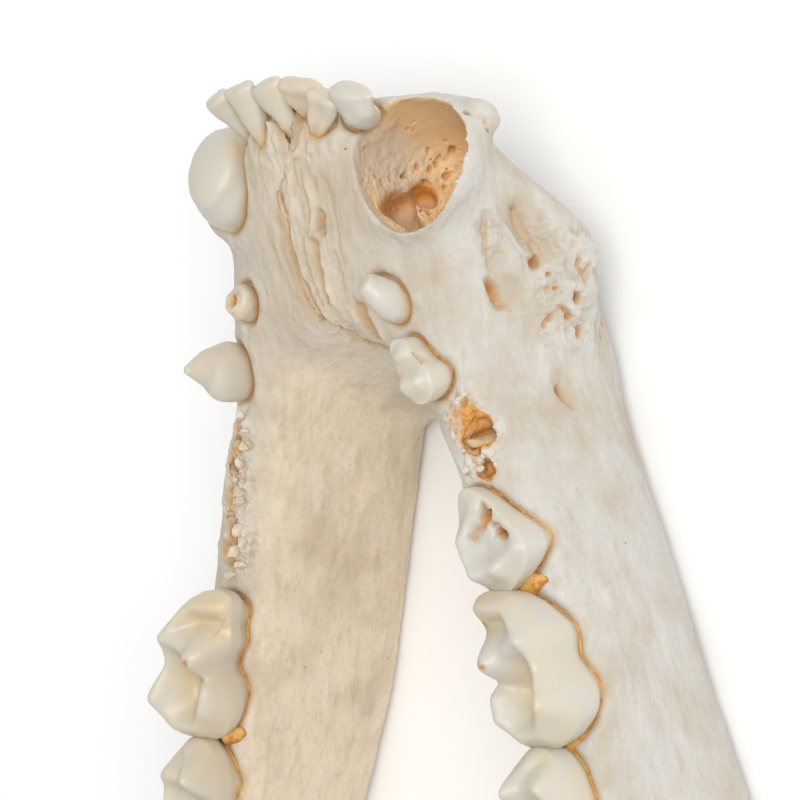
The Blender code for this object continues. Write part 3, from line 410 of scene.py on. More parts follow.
# Unevenness of the teeth by the start of their names, and how yellow they are by side or by name
PLAIN_TOOTH_LUMPS = 0.035
TOOTH_LUMPS = {"i1": 0.1, "i2": 0.1, "i3": 0.12, "p1": 0.1, "p3": 0.16, "p4": 0.07, "ca": 0.06}
TOOTH_WARMTH = {"left": 0.3, "right": 0.1, "canine_left": 0.1, "i1_left": 0.22, "i2_left": 0.22,
                "i3_left": 0.22, "i1_right": 0.3, "i2_right": 0.2, "p3_septum_right": 0.8}

# Yellow patches on the teeth: tooth, centre, reach and amount
TOOTH_TINTS = (
    ("canine_left", (9.1, -15.4, 0.2), (1.3, 1.0, 1.6), 0.7),
    ("canine_left", (5.6, -18.2, 0.0), (0.8, 1.2, 1.2), 0.8),
    ("canine_left", (8.6, -13.8, -0.4), (2.0, 1.4, 1.6), 0.5),
    ("i1_right", (0.7, -21.9, 1.1), (0.4, 0.4, 0.7), 1.0),
    ("i1_right", (1.3, -19.8, -0.2), (1.2, 0.9, 1.0), 0.8),
    ("i2_right", (2.6, -18.8, 0.0), (0.7, 0.8, 0.8), 0.5),
    ("i1_left", (0.9, -19.6, 0.2), (0.9, 0.9, 0.8), 0.6),
    ("i2_left", (3.2, -18.8, 0.2), (0.9, 0.9, 0.8), 0.5),
)

# Dried gum: steps around a tooth, the levels tried on its wall with their number, the clearance over the bone
# that ends the search, thickness, and the share of it that the premolars have
GUM_STEPS = 160
GUM_LEVELS = (1.0, -2.4, 35)
GUM_CLEARANCE = 0.1
GUM_THICKNESS = 0.1
GUM_SHARES = {"p4": 0.65, "p2": 0.6}

# Webs of dried gum between the molars: name, sides, path and radii
GUM_WEBS = (
    ("p4", (-1,), ((14.2, 13.1, -1.2), (15.1, 13.0, -1.4), (16.0, 12.8, -1.7)),
     ((0.8, 1.0), (0.7, 0.9), (0.3, 0.4))),
    ("m1", (1, -1), ((17.0, 23.8, -0.4), (18.0, 23.8, -0.7), (19.3, 23.6, -1.3)),
     ((0.8, 1.1), (0.8, 1.0), (0.35, 0.5))),
    ("m1b", (1, -1), ((15.4, 23.9, 0.6), (14.9, 23.7, 0.4), (14.2, 23.5, 0.0)),
     ((0.5, 0.8), (0.5, 0.8), (0.25, 0.35))),
)

# Line of the joint at the chin, from front to back: how far it wanders to the left of the middle. Then the gap
# that each side leaves, the width of the band of strands along it, and its stain.
JOINT_Y = (-22.0, -18.6, -16.6, -14.4, -11.5, -9.0, -7.0, -6.0, -4.9, -3.6, -1.6)
JOINT_X = (0.0, 0.0, 0.6, 1.95, 1.85, 1.65, 1.4, 0.75, 0.5, 1.0, 1.9)
JOINT_GAP = 0.03
STRANDS_WIDTH = 3.2
JOINT_STAIN, JOINT_STAIN_WIDTH = 0.55, 0.14

# Block that cuts each bone along the joint: its reach back and up, with the number of its points there, and
# how far it goes past the middle
CUTTER_Y = (-26, 6, 161)
CUTTER_Z = (-22, 6, 71)
CUTTER_X = 30.0

# Grooves (negative) and ridges (positive) of the chin's rear face, with x counted to the animal's left:
# path, half width, height and stain
STRANDS = (
    (((1.9, -14.6, 0.8), (1.85, -12.0, 0.5), (1.65, -9.2, 0.3), (1.4, -7.2, 0.0), (0.95, -6.4, -0.2)),
     0.28, -0.4, 0.45),
    (((0.95, -6.4, -0.2), (0.5, -5.0, -1.8), (1.0, -3.7, -3.9)), 0.26, -0.15, 0.45),
    (((2.3, -13.4, 0.7), (2.1, -10.8, 0.5), (1.9, -8.6, 0.3), (1.6, -6.9, 0.0), (1.1, -5.6, -0.9)),
     0.55, -0.22, 0.3),
    (((-0.45, -17.6, 1.1), (0.1, -15.8, 0.9), (0.35, -14.6, 0.8)), 0.13, -0.34, 0.3),
    (((0.1, -17.0, 1.0), (0.6, -14.9, 0.8), (1.0, -12.9, 0.6), (1.35, -10.8, 0.4), (1.3, -8.8, 0.2)),
     0.32, 0.3, 0),
    (((-1.1, -15.6, 0.8), (-1.3, -13.9, 0.7), (-1.0, -12.5, 0.6), (-0.5, -11.6, 0.5)), 0.26, 0.55, 0),
    (((-0.7, -15.6, 0.8), (-0.8, -13.8, 0.7), (-0.5, -12.4, 0.6)), 0.14, -0.36, 0.4),
    (((-1.8, -15.6, 0.8), (-1.85, -14.4, 0.7), (-1.75, -13.6, 0.6)), 0.2, -0.3, 0.3),
    (((-1.75, -13.1, 0.6), (-1.65, -12.6, 0.6), (-1.45, -11.9, 0.5)), 0.27, -0.75, 0.9),
    (((-0.5, -11.3, 0.4), (-0.4, -9.5, 0.3), (-0.45, -8.0, 0.1), (-0.65, -6.8, -0.1)), 0.26, -0.5, 0.65),
    (((-1.1, -10.6, 0.4), (-1.0, -8.6, 0.2), (-1.25, -6.9, -0.1), (-0.9, -5.2, -1.4)), 0.26, 0.26, 0),
    (((0.5, -11.5, 0.5), (0.7, -9.8, 0.3), (0.5, -8.0, 0.1), (0.1, -6.6, -0.1)), 0.16, -0.26, 0.3),
    (((0.1, -5.9, -0.4), (0.2, -5.4, -1.2), (-0.2, -4.9, -2.1), (0.6, -3.8, -3.8), (1.5, -2.0, -6.3)),
     0.22, 0.42, 0),
    (((2.6, -13.4, 0.6), (2.9, -10.8, 0.3), (2.4, -8.0, 0.0)), 0.2, -0.2, 0.2),
    (((4.0, -12.4, 0.4), (3.6, -9.8, 0.1), (3.0, -7.4, -0.4)), 0.24, -0.16, 0.2),
    (((-2.9, -15.4, 0.8), (-3.1, -12.8, 0.6), (-2.8, -9.6, 0.3)), 0.2, -0.18, 0.2),
    (((-2.3, -10.4, 0.4), (-2.4, -8.6, 0.2), (-2.2, -6.8, -0.2)), 0.18, -0.22, 0.25),
    (((-3.3, -6.4, -0.2), (-3.6, -5.2, -0.6), (-3.4, -3.8, -1.8)), 0.6, -0.6, 0.7),
    (((-4.3, -6.0, 0.0), (-4.7, -4.4, -0.4), (-4.6, -2.8, -1.6)), 0.35, 0.35, 0),
    (((-2.5, -6.3, -0.1), (-2.7, -5.0, -1.0), (-2.4, -3.6, -2.4)), 0.3, 0.3, 0),
    (((0.1, -19.2, 0.4), (-0.4, -18.7, 0.5), (-1.0, -19.3, 0.3)), 0.75, -0.7, 1.0),
    (((1.8, -17.2, 0.9), (1.75, -18.5, 0.8), (1.75, -19.5, 0.7)), 0.24, 0.75, 0),
    (((-1.0, -17.2, 1.0), (-1.3, -18.2, 0.9), (-1.5, -19.2, 0.7)), 0.2, 0.8, 0),
    (((-2.2, -17.4, 1.0), (-2.0, -18.3, 0.9), (-1.9, -19.2, 0.8)), 0.22, 0.55, 0),
    (((-4.2, -17.6, 1.0), (-4.6, -19.1, 0.8)), 0.3, 0.7, 0),
)

# Ridges and grooves of the rough bone on the right: path, half width, height and stain
CHIN_STRANDS = (
    (((12.1, -12.0, -5.4), (12.3, -10.6, -6.1), (12.6, -9.6, -6.6), (12.8, -8.7, -6.9), (13.1, -8.3, -7.6)),
     0.3, 0.4, 0),
    (((12.9, -11.9, -7.2), (12.9, -10.8, -7.2), (13.0, -9.8, -7.4), (13.2, -8.8, -7.9)), 0.4, -0.45, 0.3),
    (((12.0, -11.3, -4.9), (11.7, -9.8, -4.7), (11.6, -8.4, -4.8), (11.6, -7.4, -5.0)), 0.22, -0.3, 0.25),
    (((12.9, -8.0, -7.0), (13.1, -7.0, -7.2), (13.1, -5.8, -7.2)), 0.3, 0.25, 0),
    (((12.2, -7.2, -4.3), (11.95, -6.45, -4.7), (11.9, -5.6, -5.1)), 0.36, -1.1, 0.95),
    (((13.5, 0.9, -8.4), (13.5, 1.6, -8.7), (13.5, 2.2, -9.0)), 0.25, -0.8, 0.9),
    (((13.8, -9.1, -9.2), (13.9, -8.2, -9.6), (13.9, -7.4, -9.8)), 0.14, -0.3, 0.45),
    (((13.0, -3.6, -7.9), (13.3, -4.2, -8.8), (13.5, -4.7, -9.2), (13.7, -4.2, -9.8)), 0.15, -0.35, 0.55),
    (((14.0, -5.7, -10.9), (14.1, -5.2, -10.6), (14.1, -4.8, -10.4)), 0.13, -0.4, 0.7),
    (((14.4, -8.0, -10.8), (14.4, -7.2, -10.6), (14.5, -6.6, -11.0), (14.7, -7.1, -11.5)), 0.18, -0.3, 0.35),
    (((12.2, -4.8, -5.4), (12.9, -4.6, -7.2), (13.2, -4.4, -8.0)), 0.2, 0.16, 0),
    (((11.8, -18.7, -4.5), (12.2, -18.3, -4.9), (12.3, -17.1, -5.8)), 0.1, -0.6, 0.5),
    (((11.8, -18.4, -4.5), (12.1, -17.9, -4.9), (12.2, -17.0, -5.6)), 0.14, 0.3, 0),
    (((12.2, -18.4, -5.2), (12.3, -18.1, -5.5)), 0.24, -0.35, 0.9),
    (((12.3, -18.9, -5.8), (12.4, -18.4, -6.4)), 0.3, 0.3, 0),
)

# The knob at the front of the rim, and the caves that open from the empty socket
KNOB_PATH = ((10.9, -18.9, -4.9), (11.9, -18.8, -5.3), (12.3, -18.1, -6.2), (12.1, -17.2, -7.0))
KNOB_RADII = ((0.6, 0.7), (0.65, 0.65), (0.55, 0.6), (0.5, 0.5))
CAVES = (
    (((6.3, -13.2, -1.1), (5.6, -12.9, -2.0), (4.5, -12.4, -3.6)), ((0.45, 0.6), (0.5, 0.75), (0.5, 0.6))),
    (((6.4, -13.1, -2.2), (5.4, -12.8, -3.3), (4.0, -12.0, -5.2)), ((0.9, 1.2), (1.0, 1.3), (0.9, 1.1))),
    (((6.8, -12.0, -2.6), (6.0, -11.6, -3.6), (4.9, -10.9, -4.8)), ((0.8, 0.9), (0.9, 1.0), (0.7, 0.8))),
    (((6.3, -13.5, -5.2), (5.4, -13.2, -5.9), (4.4, -12.6, -6.9)), ((1.15, 0.7), (1.1, 0.8), (0.9, 0.7))),
)

# Open pits of the spongy bone in the empty socket: place, radius and depth
SOCKET_PITS = (
    ((5.3, -15.6, -2.3), 0.2, 0.6),
    ((5.3, -15.1, -2.0), 0.17, 0.4),
    ((5.3, -15.2, -0.5), 0.16, 0.4),
    ((5.1, -14.9, -4.7), 0.3, 0.8),
    ((5.3, -15.2, -5.8), 0.2, 0.4),
    ((5.8, -17.9, -4.8), 0.16, 0.3),
    ((6.4, -18.4, -5.0), 0.13, 0.3),
    ((5.9, -16.4, -6.5), 0.2, 0.4),
    ((6.9, -16.8, -7.2), 0.18, 0.4),
    ((6.8, -16.0, -7.9), 0.3, 0.8),
    ((6.0, -15.6, -7.3), 0.26, 0.7),
    ((6.2, -15.5, -7.6), 0.22, 0.6),
    ((5.9, -15.3, -7.1), 0.24, 0.6),
    ((5.7, -14.9, -6.7), 0.22, 0.5),
    ((6.1, -14.3, -7.7), 0.3, 0.6),
    ((6.0, -13.5, -7.5), 0.26, 0.6),
    ((5.5, -13.9, -6.3), 0.28, 0.7),
    ((5.9, -12.8, -6.8), 0.2, 0.5),
    ((6.0, -12.3, -5.7), 0.26, 0.7),
    ((5.7, -12.4, -4.8), 0.3, 0.5),
    ((6.2, -12.0, -3.1), 0.32, 0.8),
    ((6.1, -12.0, -4.9), 0.22, 0.5),
    ((6.9, -11.5, -3.9), 0.4, 0.7),
    ((7.6, -11.3, -2.0), 0.45, 0.6),
    ((6.5, -11.9, -0.2), 0.35, 0.5),
)

# Splinters of broken teeth: side, place, half sizes and lean outwards and back in degrees
SPLINTERS = (
    (1, (9.9, 0.6, -0.1), (0.25, 0.45, 0.35), 10, -12),
    (1, (9.7, 1.8, -0.2), (0.3, 0.4, 0.4), -8, 18),
    (1, (10.1, 2.9, -0.2), (0.3, 0.5, 0.4), 25, -6),
    (1, (10.7, 4.0, -0.1), (0.25, 0.5, 0.4), 4, 22),
    (1, (11.4, 5.3, -0.2), (0.3, 0.45, 0.5), -12, -10),
    (1, (11.2, 6.8, -0.2), (0.25, 0.5, 0.4), 18, 12),
    (1, (11.9, 8.8, -0.1), (0.35, 0.6, 0.5), 14, -16),
    (1, (11.7, 9.9, -0.2), (0.4, 0.5, 0.5), -6, 14),
    (1, (12.5, 10.5, -0.1), (0.35, 0.5, 0.6), 16, 8),
    (1, (12.1, 11.4, -0.1), (0.4, 0.45, 0.6), 2, -14),
    (1, (13.3, 12.1, -0.2), (0.4, 0.4, 0.6), 12, 20),
    (-1, (9.9, 1.5, -0.4), (0.25, 0.55, 0.4), 20, 10),
    (-1, (10.3, 2.7, -0.5), (0.25, 0.5, 0.45), 30, -14),
    (-1, (10.9, 3.7, -0.6), (0.3, 0.4, 0.4), -6, 16),
    (-1, (11.1, 5.0, -0.4), (0.3, 0.4, 0.5), 20, 0),
    (-1, (12.2, 4.9, -0.5), (0.35, 0.3, 0.4), 0, 24),
)
FACETS = 9
# Chips take the inner faces' warm tone with painted shade, and a little painted shade of low places
SPLINTER_MASKS = {"inward": {1: 0.9, -1: 0.4}, "valley": {1: 0.15, -1: 0.15}}

SIDE_NAMES = {1: "left", -1: "right"}

# Cells of space around a cell, and corners of a cell
NEIGHBOURS = tuple(product((-1, 0, 1), repeat=3))
CORNERS = tuple(product((0, 1), repeat=3))

# Light of the surroundings, and the lamp: place, size and power
WORLD_LIGHT = 0.72
LAMP_PLACE = (-0.34, -0.1, 0.42)
LAMP_SIZE = 0.3
LAMP_POWER = 1.7
FLOOR_SIZE = 1.5


def new_object(name, data):
    """An object of this mesh, lamp or camera, linked to the scene."""
    obj = bpy.data.objects.new(name, data)
    bpy.context.scene.collection.objects.link(obj)
    return obj


def mesh_object(name, bm):
    """An object of the edited mesh, which is then freed."""
    mesh = bpy.data.meshes.new(name)
    bm.to_mesh(mesh)
    bm.free()
    return new_object(name, mesh)


def closed_object(name, bm):
    """An object of a closed body, with its faces turned outwards."""
    bmesh.ops.recalc_face_normals(bm, faces=bm.faces)
    return mesh_object(name, bm)


def set_mask(obj, name, values):
    """Stores a value for each vertex, which a material reads."""
    layer = obj.data.attributes.new(name, "FLOAT", "POINT")
    layer.data.foreach_set("value", values.astype(np.float32))


def set_material(obj, material):
    """Gives the object this material alone."""
    obj.data.materials.clear()
    obj.data.materials.append(material)


def smooth_values(stations, values, at):
    """Values read between the stations on a smooth curve that doesn't overshoot."""
    x = np.asarray(stations, float)
    y = np.asarray(values, float)
    step = np.diff(x)
    slope = np.diff(y) / step
    tangent = np.zeros(len(x))
    tangent[0], tangent[-1] = slope[0], slope[-1]
    for i in range(1, len(x) - 1):
        if slope[i - 1] * slope[i] > 0:
            before, after = 2 * step[i] + step[i - 1], step[i] + 2 * step[i - 1]
            tangent[i] = (before + after) / (before / slope[i - 1] + after / slope[i])
    at = np.clip(np.asarray(at, float), x[0], x[-1])
    i = np.clip(np.searchsorted(x, at) - 1, 0, len(x) - 2)
    t = (at - x[i]) / step[i]
    return (
        y[i] * (1 + 2 * t) * (1 - t) ** 2
        + tangent[i] * step[i] * t * (1 - t) ** 2
        + y[i + 1] * t**2 * (3 - 2 * t)
        - tangent[i + 1] * step[i] * t**2 * (1 - t)
    )


def smooth_track(values, along):
    """Rows of values read on smooth curves, at places that count the rows from 0."""
    values = np.asarray(values, float)
    return np.stack([smooth_values(np.arange(len(values)), column, along) for column in values.T], 1)


def read_tracks(stations, tracks, at):
    """Each of these places with the value of every track there."""
    return zip(at, *(smooth_values(stations, track, at) for track in tracks))


def full_turn(count):
    """Even steps of angle all round."""
    return np.linspace(0, 2 * pi, count, endpoint=False)


def bell(away, width):
    """1 where this distance is 0, and 0 far beyond the width."""
    return np.exp(-((away / width) ** 2))


def around(points, centre, reach):
    """1 at this centre and 0 far beyond the reach."""
    return np.exp(-(((points - centre) / reach) ** 2).sum(1))


def close_strip(bm, low, high):
    """Faces all round between two rings of equal count."""
    for i in range(len(low)):
        j = (i + 1) % len(low)
        bm.faces.new((low[i], low[j], high[j], high[i]))


def loft(name, rings, side):
    """A closed body through rings of equal count. The ends are closed with fans."""
    bm = bmesh.new()
    loops = []
    for ring in rings:
        loops.append([bm.verts.new((side * x * MM, y * MM, z * MM)) for x, y, z in ring])
    for low, high in zip(loops[:-1], loops[1:]):
        close_strip(bm, low, high)
    count = len(loops[0])
    for loop in (loops[0], loops[-1]):
        centre = bm.verts.new(sum((v.co for v in loop), Vector()) / count)
        for i in range(count):
            bm.faces.new((loop[i], loop[(i + 1) % count], centre))
    return closed_object(name, bm)


def section_shares():
    """Shares of the way down a section, closest together at its ends."""
    return (1 - np.cos(np.linspace(0, pi, SECTION_POINTS))) / 2


def section_ring(outer, inner):
    """A closed ring: down outside and up inside, with each end once."""
    return outer + inner[-2:0:-1]


def body_ring(y, top, low, widths, drop):
    """A section across the body, squared at the gum and rounded below."""
    s = section_shares()
    wide = widths[0] * (1 - s) * (1 - 2 * s) + widths[1] * 4 * s * (1 - s) + widths[2] * s * (2 * s - 1)
    power = np.where(s < 0.5, UPPER_POWER, LOWER_POWER)
    half = wide / 2 * (1 - np.abs(2 * s - 1) ** power) ** (1 / power)
    x = top[0] + (low[0] - top[0]) * s
    z = top[1] + (low[1] - top[1]) * s
    faces = []
    for way in (1, -1):
        level = z - drop * (1 - s) ** 3 * (0.5 + way * half / wide)
        faces.append([(x[i] + way * half[i], y, level[i]) for i in range(len(s))])
    return section_ring(*faces)


def dentary_body(side):
    """The bar of bone that holds the cheek teeth."""
    ys = np.arange(BODY_Y[0], BODY_Y[-1] + 0.1, 1.0)
    tracks = (BODY_IN_X, BODY_OUT_X, BODY_LOW_X, BODY_TOP_Z, BODY_LOW_Z, BODY_OUT_DROP,
              BODY_MID_WIDE, BODY_LOW_WIDE)
    rings = []
    for y, x_in, x_out, x_low, top, low, drop, mid_wide, low_wide in read_tracks(BODY_Y, tracks, ys):
        widths = (x_out - x_in, mid_wide, low_wide)
        rings.append(body_ring(y, ((x_in + x_out) / 2, top), (x_low, low), widths, drop))
    return loft("body", rings, side)


def chin_block(side):
    """The front of the jaw between the midline and the canine, hollowed behind towards the midline."""
    zs = np.linspace(CHIN_Z[0], CHIN_Z[-1], CHIN_LEVELS)
    tracks = [track[::-1] for track in (CHIN_FRONT_Y, CHIN_BACK_Y, CHIN_WIDE)]
    rings = []
    for z, front, back, wide in read_tracks(CHIN_Z[::-1], tracks, zs):
        ring = []
        for share in np.linspace(-1, 1, CHIN_POINTS):
            ring.append((wide * share, front + (back - front) * 0.5 * abs(share) ** 4))
        for share in np.linspace(1, -1, CHIN_POINTS)[1:-1]:
            x = wide * share
            ring.append((x, back + CHIN_FLARE * abs(x) - CHIN_FLARE / 2 * abs(x) * abs(share) ** 3))
        middle = (front + back) / 2
        rings.append([(x, y, z - CHIN_TOP_SLOPE * (y - middle)) for x, y in ring])
    return loft("chin", rings, side)


def ramus_plate(side):
    """The upright plate behind the teeth: a thick front crest and a thin blade, hollow outside."""
    zs = np.linspace(RAMUS_Z[0], RAMUS_Z[-1], RAMUS_LEVELS)
    tracks = (RAMUS_FRONT_Y, RAMUS_BACK_Y, RAMUS_CREST_WIDE, RAMUS_PLATE_WIDE)
    s = section_shares()
    blunt = (1 - np.abs(2 * s - 1) ** 4) ** 0.25
    rings = []
    for z, front, back, crest, plate in read_tracks(RAMUS_Z, tracks, zs):
        y = front + (back - front) * s
        fade = bell(s * (back - front), RAMUS_CREST_REACH)
        middle = RAMUS_FRONT_X + RAMUS_SPREAD * (y - RAMUS_FRONT_Y[3]) + RAMUS_LEAN * z
        faces = []
        for way, share in zip((1, -1), RAMUS_CREST_SHARES):
            x = middle + way * (plate / 2 + (crest - plate) * share * fade) * blunt
            faces.append([(x[i], y[i], z) for i in range(len(s))])
        rings.append(section_ring(*faces))
    return loft("ramus", rings, side)


def directions(centre):
    """The way ahead at each point of a path."""
    forward = np.gradient(centre, axis=0)
    return forward / np.linalg.norm(forward, axis=1)[:, None]


def square_to(ahead):
    """Two directions square to the way ahead, the first as far outwards as it goes."""
    out = np.array((1.0, 0.0, 0.0))
    first = out - ahead * np.dot(out, ahead)
    first /= np.linalg.norm(first)
    return first, np.cross(ahead, first)


def tube(name, path, radii, side, steps=14, points=16, egg=0.0):
    """A rod along a smooth path with domed ends. Each radius is a pair: across the jaw, and the other.

    An egg-shaped section is wider in front than behind.
    """
    along = np.linspace(0, len(path) - 1, steps)
    centre = smooth_track(path, along)
    radius = smooth_track(radii, along)
    forward = directions(centre)
    stages = list(zip(centre, forward, radius))
    for angle in np.linspace(0, pi / 2, DOME_RINGS + 2)[1:-1]:
        shift, share = DOME_HEIGHT * sin(angle), cos(angle)
        stages.insert(0, (centre[0] - forward[0] * shift * radius[0].min(), forward[0], radius[0] * share))
        stages.append((centre[-1] + forward[-1] * shift * radius[-1].min(), forward[-1], radius[-1] * share))
    loops = []
    for point, ahead, (across, other) in stages:
        first, second = square_to(ahead)
        loops.append([
            tuple(point + across * cos(a) * (1 + egg * sin(a)) * first + other * sin(a) * second)
            for a in full_turn(points)
        ])
    return loft(name, loops, side)


def condyle(side):
    """The cross bar of the jaw joint, narrower at its ends."""
    toe = radians(CONDYLE_TOE_DEG)
    half = CONDYLE_LENGTH / 2
    x, y, z = CONDYLE_CENTRE
    rings = []
    for t in np.linspace(-1, 1, CONDYLE_RINGS):
        r = CONDYLE_RADIUS * (1 - CONDYLE_TAPER * t) * (1 - abs(t) ** 2.6) ** 0.5 + 0.25
        cx, cy = x + half * t * cos(toe), y - half * t * sin(toe)
        angles = full_turn(CONDYLE_SIDES)
        rings.append([(cx, cy + r * cos(a), z + CONDYLE_FLATNESS * r * sin(a)) for a in angles])
    return loft("condyle", rings, side)


def join(objects, name):
    """These objects' meshes in one new object, with the old ones removed."""
    bm = bmesh.new()
    for obj in objects:
        bm.from_mesh(obj.data)
        bpy.data.objects.remove(obj)
    return mesh_object(name, bm)


def apply_modifiers(obj):
    """Replaces the object's mesh by its evaluated one."""
    graph = bpy.context.evaluated_depsgraph_get()
    mesh = bpy.data.meshes.new_from_object(obj.evaluated_get(graph))
    obj.modifiers.clear()
    obj.data = mesh


def add_smoothing(obj, times, group=""):
    """A modifier that smooths the skin, by the weights of a vertex group if one is named."""
    smooth = obj.modifiers.new("soften", "SMOOTH")
    smooth.factor = 0.5
    smooth.iterations = times
    smooth.vertex_group = group


def blend_bone(obj, voxel, smoothing):
    """Melts overlapping bodies into one skin."""
    remesh = obj.modifiers.new("blend", "REMESH")
    remesh.mode = "VOXEL"
    remesh.voxel_size = voxel * MM
    add_smoothing(obj, smoothing)
    apply_modifiers(obj)


def read_points(obj, side):
    """The vertices in millimetres, with x counted outwards."""
    points = np.empty(len(obj.data.vertices) * 3)
    obj.data.vertices.foreach_get("co", points)
    return points.reshape(-1, 3) / MM * (side, 1, 1)


def write_points(obj, points, side):
    """Moves the vertices to these places in millimetres, with x counted outwards."""
    obj.data.vertices.foreach_set("co", (points * (side, 1, 1) * MM).ravel())
    obj.data.update()


def read_normals(obj, side):
    """The vertices' normals, with x counted outwards."""
    normals = np.empty(len(obj.data.vertices) * 3, np.float32)
    obj.data.vertex_normals.foreach_get("vector", normals)
    return normals.reshape(-1, 3).astype(float) * (side, 1, 1)


def nearness(points, places):
    """1 at the middle of any of these places and 0 far from them all."""
    near = np.zeros(len(points))
    for centre, reach in places:
        near = np.maximum(near, around(points, centre, reach))
    return near


def smooth_near(obj, weights, least, times):
    """Smooths the skin further where these weights are over the least one."""
    group = obj.vertex_groups.new(name="soft")
    for index in np.flatnonzero(weights > least):
        group.add([int(index)], float(weights[index]), "REPLACE")
    add_smoothing(obj, times, group.name)
    apply_modifiers(obj)
    obj.vertex_groups.clear()


def soften_places(obj, side):
    """Smooths the creases where bodies meet."""
    weights = np.minimum(2 * nearness(read_points(obj, side), SOFT_PLACES), 1)
    smooth_near(obj, weights, 0.01, SOFT_SMOOTHING)


def soften_caves(obj, side):
    """Rounds the edges of the caves in the empty socket."""
    points = read_points(obj, side)
    near = np.zeros(len(points))
    for path, radii in CAVES:
        near = np.maximum(near, near_path(points, path, 1.6 * radii[0][1]))
    smooth_near(obj, near, 0.05, CAVE_SMOOTHING)


def push_relief(obj, side):
    """Presses the soft hollows into the skin and raises its swellings."""
    points = read_points(obj, side)
    for centre, reach, push in RELIEF:
        points += around(points, centre, reach)[:, None] * push
    write_points(obj, points, side)


def cut(obj, tools):
    """Cuts the object by each tool in turn. The tools are then removed."""
    for tool in tools:
        modifier = obj.modifiers.new(tool.name, "BOOLEAN")
        modifier.operation = "DIFFERENCE"
        modifier.object = tool
        modifier.solver = "MANIFOLD"
        apply_modifiers(obj)
        bpy.data.objects.remove(tool)


def nerve_hole(name, centre, inwards, radius, side):
    """A short blind hole, wider at its mouth."""
    centre = np.array(centre)
    inwards = np.array(inwards) / np.linalg.norm(inwards)
    path = [centre + inwards * depth for depth, _ in HOLE_PROFILE]
    radii = [(radius * across, radius * other) for _, (across, other) in HOLE_PROFILE]
    return tube(name, path, radii, side, steps=8, points=20)


def lattice(cell, seed):
    """A fixed random number from 0 to 1 for each of these cells of space."""
    x, y, z = cell.T
    h = (x * 73856093) ^ (y * 19349663) ^ (z * 83492791) ^ (seed * 2654435761)
    h = ((h ^ (h >> 13)) * 1274126177) & 0xFFFFFFFF
    return ((h ^ (h >> 16)) & 0xFFFF) / 65535.0


def cell_spot(cell, seed):
    """A fixed random place in each of these cells."""
    return cell + np.stack([lattice(cell, seed + k) for k in range(3)], 1)


def noise(p, seed):
    """Smooth random values from -1 to 1 with features about one unit wide."""
    cell = np.floor(p).astype(np.int64)
    f = p - cell
    f = f * f * (3 - 2 * f)
    total = np.zeros(len(p))
    for corner in CORNERS:
        weight = 1.0
        for axis, upper in enumerate(corner):
            weight = weight * (f[:, axis] if upper else 1 - f[:, axis])
        total += weight * lattice(cell + corner, seed)
    return total * 2 - 1


def rough(p, seed, octaves=3):
    """Noise with finer noise on it."""
    total = np.zeros(len(p))
    for octave in range(octaves):
        total += noise(p * 2.1**octave + octave * 17.3, seed + octave) * 0.5**octave
    return total


def warped(p, amount, size, seeds):
    """The points shifted a little at random, so that lines measured from them waver."""
    return p + amount * np.stack([rough(p / size, seed) for seed in seeds], 1)


def cells(p, seed):
    """Distances to the nearest and the second nearest of one random point in each cell."""
    cell = np.floor(p).astype(np.int64)
    first = np.full(len(p), 9.0)
    second = np.full(len(p), 9.0)
    for step in NEIGHBOURS:
        away = np.linalg.norm(cell_spot(cell + step, seed) - p, axis=1)
        second = np.where(away < first, first, np.minimum(second, away))
        first = np.minimum(first, away)
    return first, second


def pits(p, share, seed):
    """Scattered bowls of varied width: 1 at the middle of a bowl and 0 outside. Some cells have none."""
    cell = np.floor(p).astype(np.int64)
    deepest = np.zeros(len(p))
    for step in NEIGHBOURS:
        c = cell + step
        size = 0.16 + 0.3 * lattice(c, seed + 3)
        here = lattice(c, seed + 4) < share
        away = np.linalg.norm(cell_spot(c, seed) - p, axis=1) / size
        deepest = np.maximum(deepest, here * np.clip(1.25 - away, 0, 1))
    return deepest


def path_gap(p, path):
    """The way from each point to the nearest place on this path."""
    path = np.asarray(path, float)
    gap = np.full((len(p), 3), 99.0)
    for start, end in zip(path[:-1], path[1:]):
        run = end - start
        share = np.clip((p - start) @ run / (run @ run), 0, 1)
        here = start + share[:, None] * run - p
        nearer = (here**2).sum(1) < (gap**2).sum(1)
        gap[nearer] = here[nearer]
    return gap


def near_path(p, path, width):
    """1 on this path and 0 away from it."""
    return np.exp(-(path_gap(p, path) ** 2).sum(1) / width**2)


def refine(obj, side):
    """Splits the faces of the detailed regions, so that they can carry fine relief."""
    bm = bmesh.new()
    bm.from_mesh(obj.data)
    for pass_number in (1, 2):
        places = [(np.array(c), np.array(r)) for c, r, splits in FINE_PLACES[side] if splits >= pass_number]
        points = np.array([e.verts[0].co + e.verts[1].co for e in bm.edges]) / (2 * MM) * (side, 1, 1)
        inside = np.zeros(len(points), bool)
        for centre, reach in places:
            inside |= (((points - centre) / reach) ** 2).sum(1) < 1
        edges = [e for e, chosen in zip(bm.edges, inside) if chosen]
        bmesh.ops.subdivide_edges(bm, edges=edges, cuts=1, use_grid_fill=True)
    bmesh.ops.triangulate(bm, faces=[f for f in bm.faces if len(f.verts) > 4])
    bm.to_mesh(obj.data)
    bm.free()


def socket_inside(points):
    """How far inside the empty socket each point is, and the way to its axis.

    The first is 1 on the axis and 0 on the wall.
    """
    along = np.linspace(0, len(SOCKET_PATH) - 1, 25)
    centre = smooth_track(SOCKET_PATH, along)
    radius = smooth_track(SOCKET_RADII, along)[:, (0, 1, 0)]
    away = (((points[:, None, :] - centre[None]) / radius[None]) ** 2).sum(2) ** 0.5
    inwards = centre[away.argmin(1)] - points
    inwards /= np.linalg.norm(inwards, axis=1)[:, None] + 1e-6
    return 1 - away.min(1), inwards


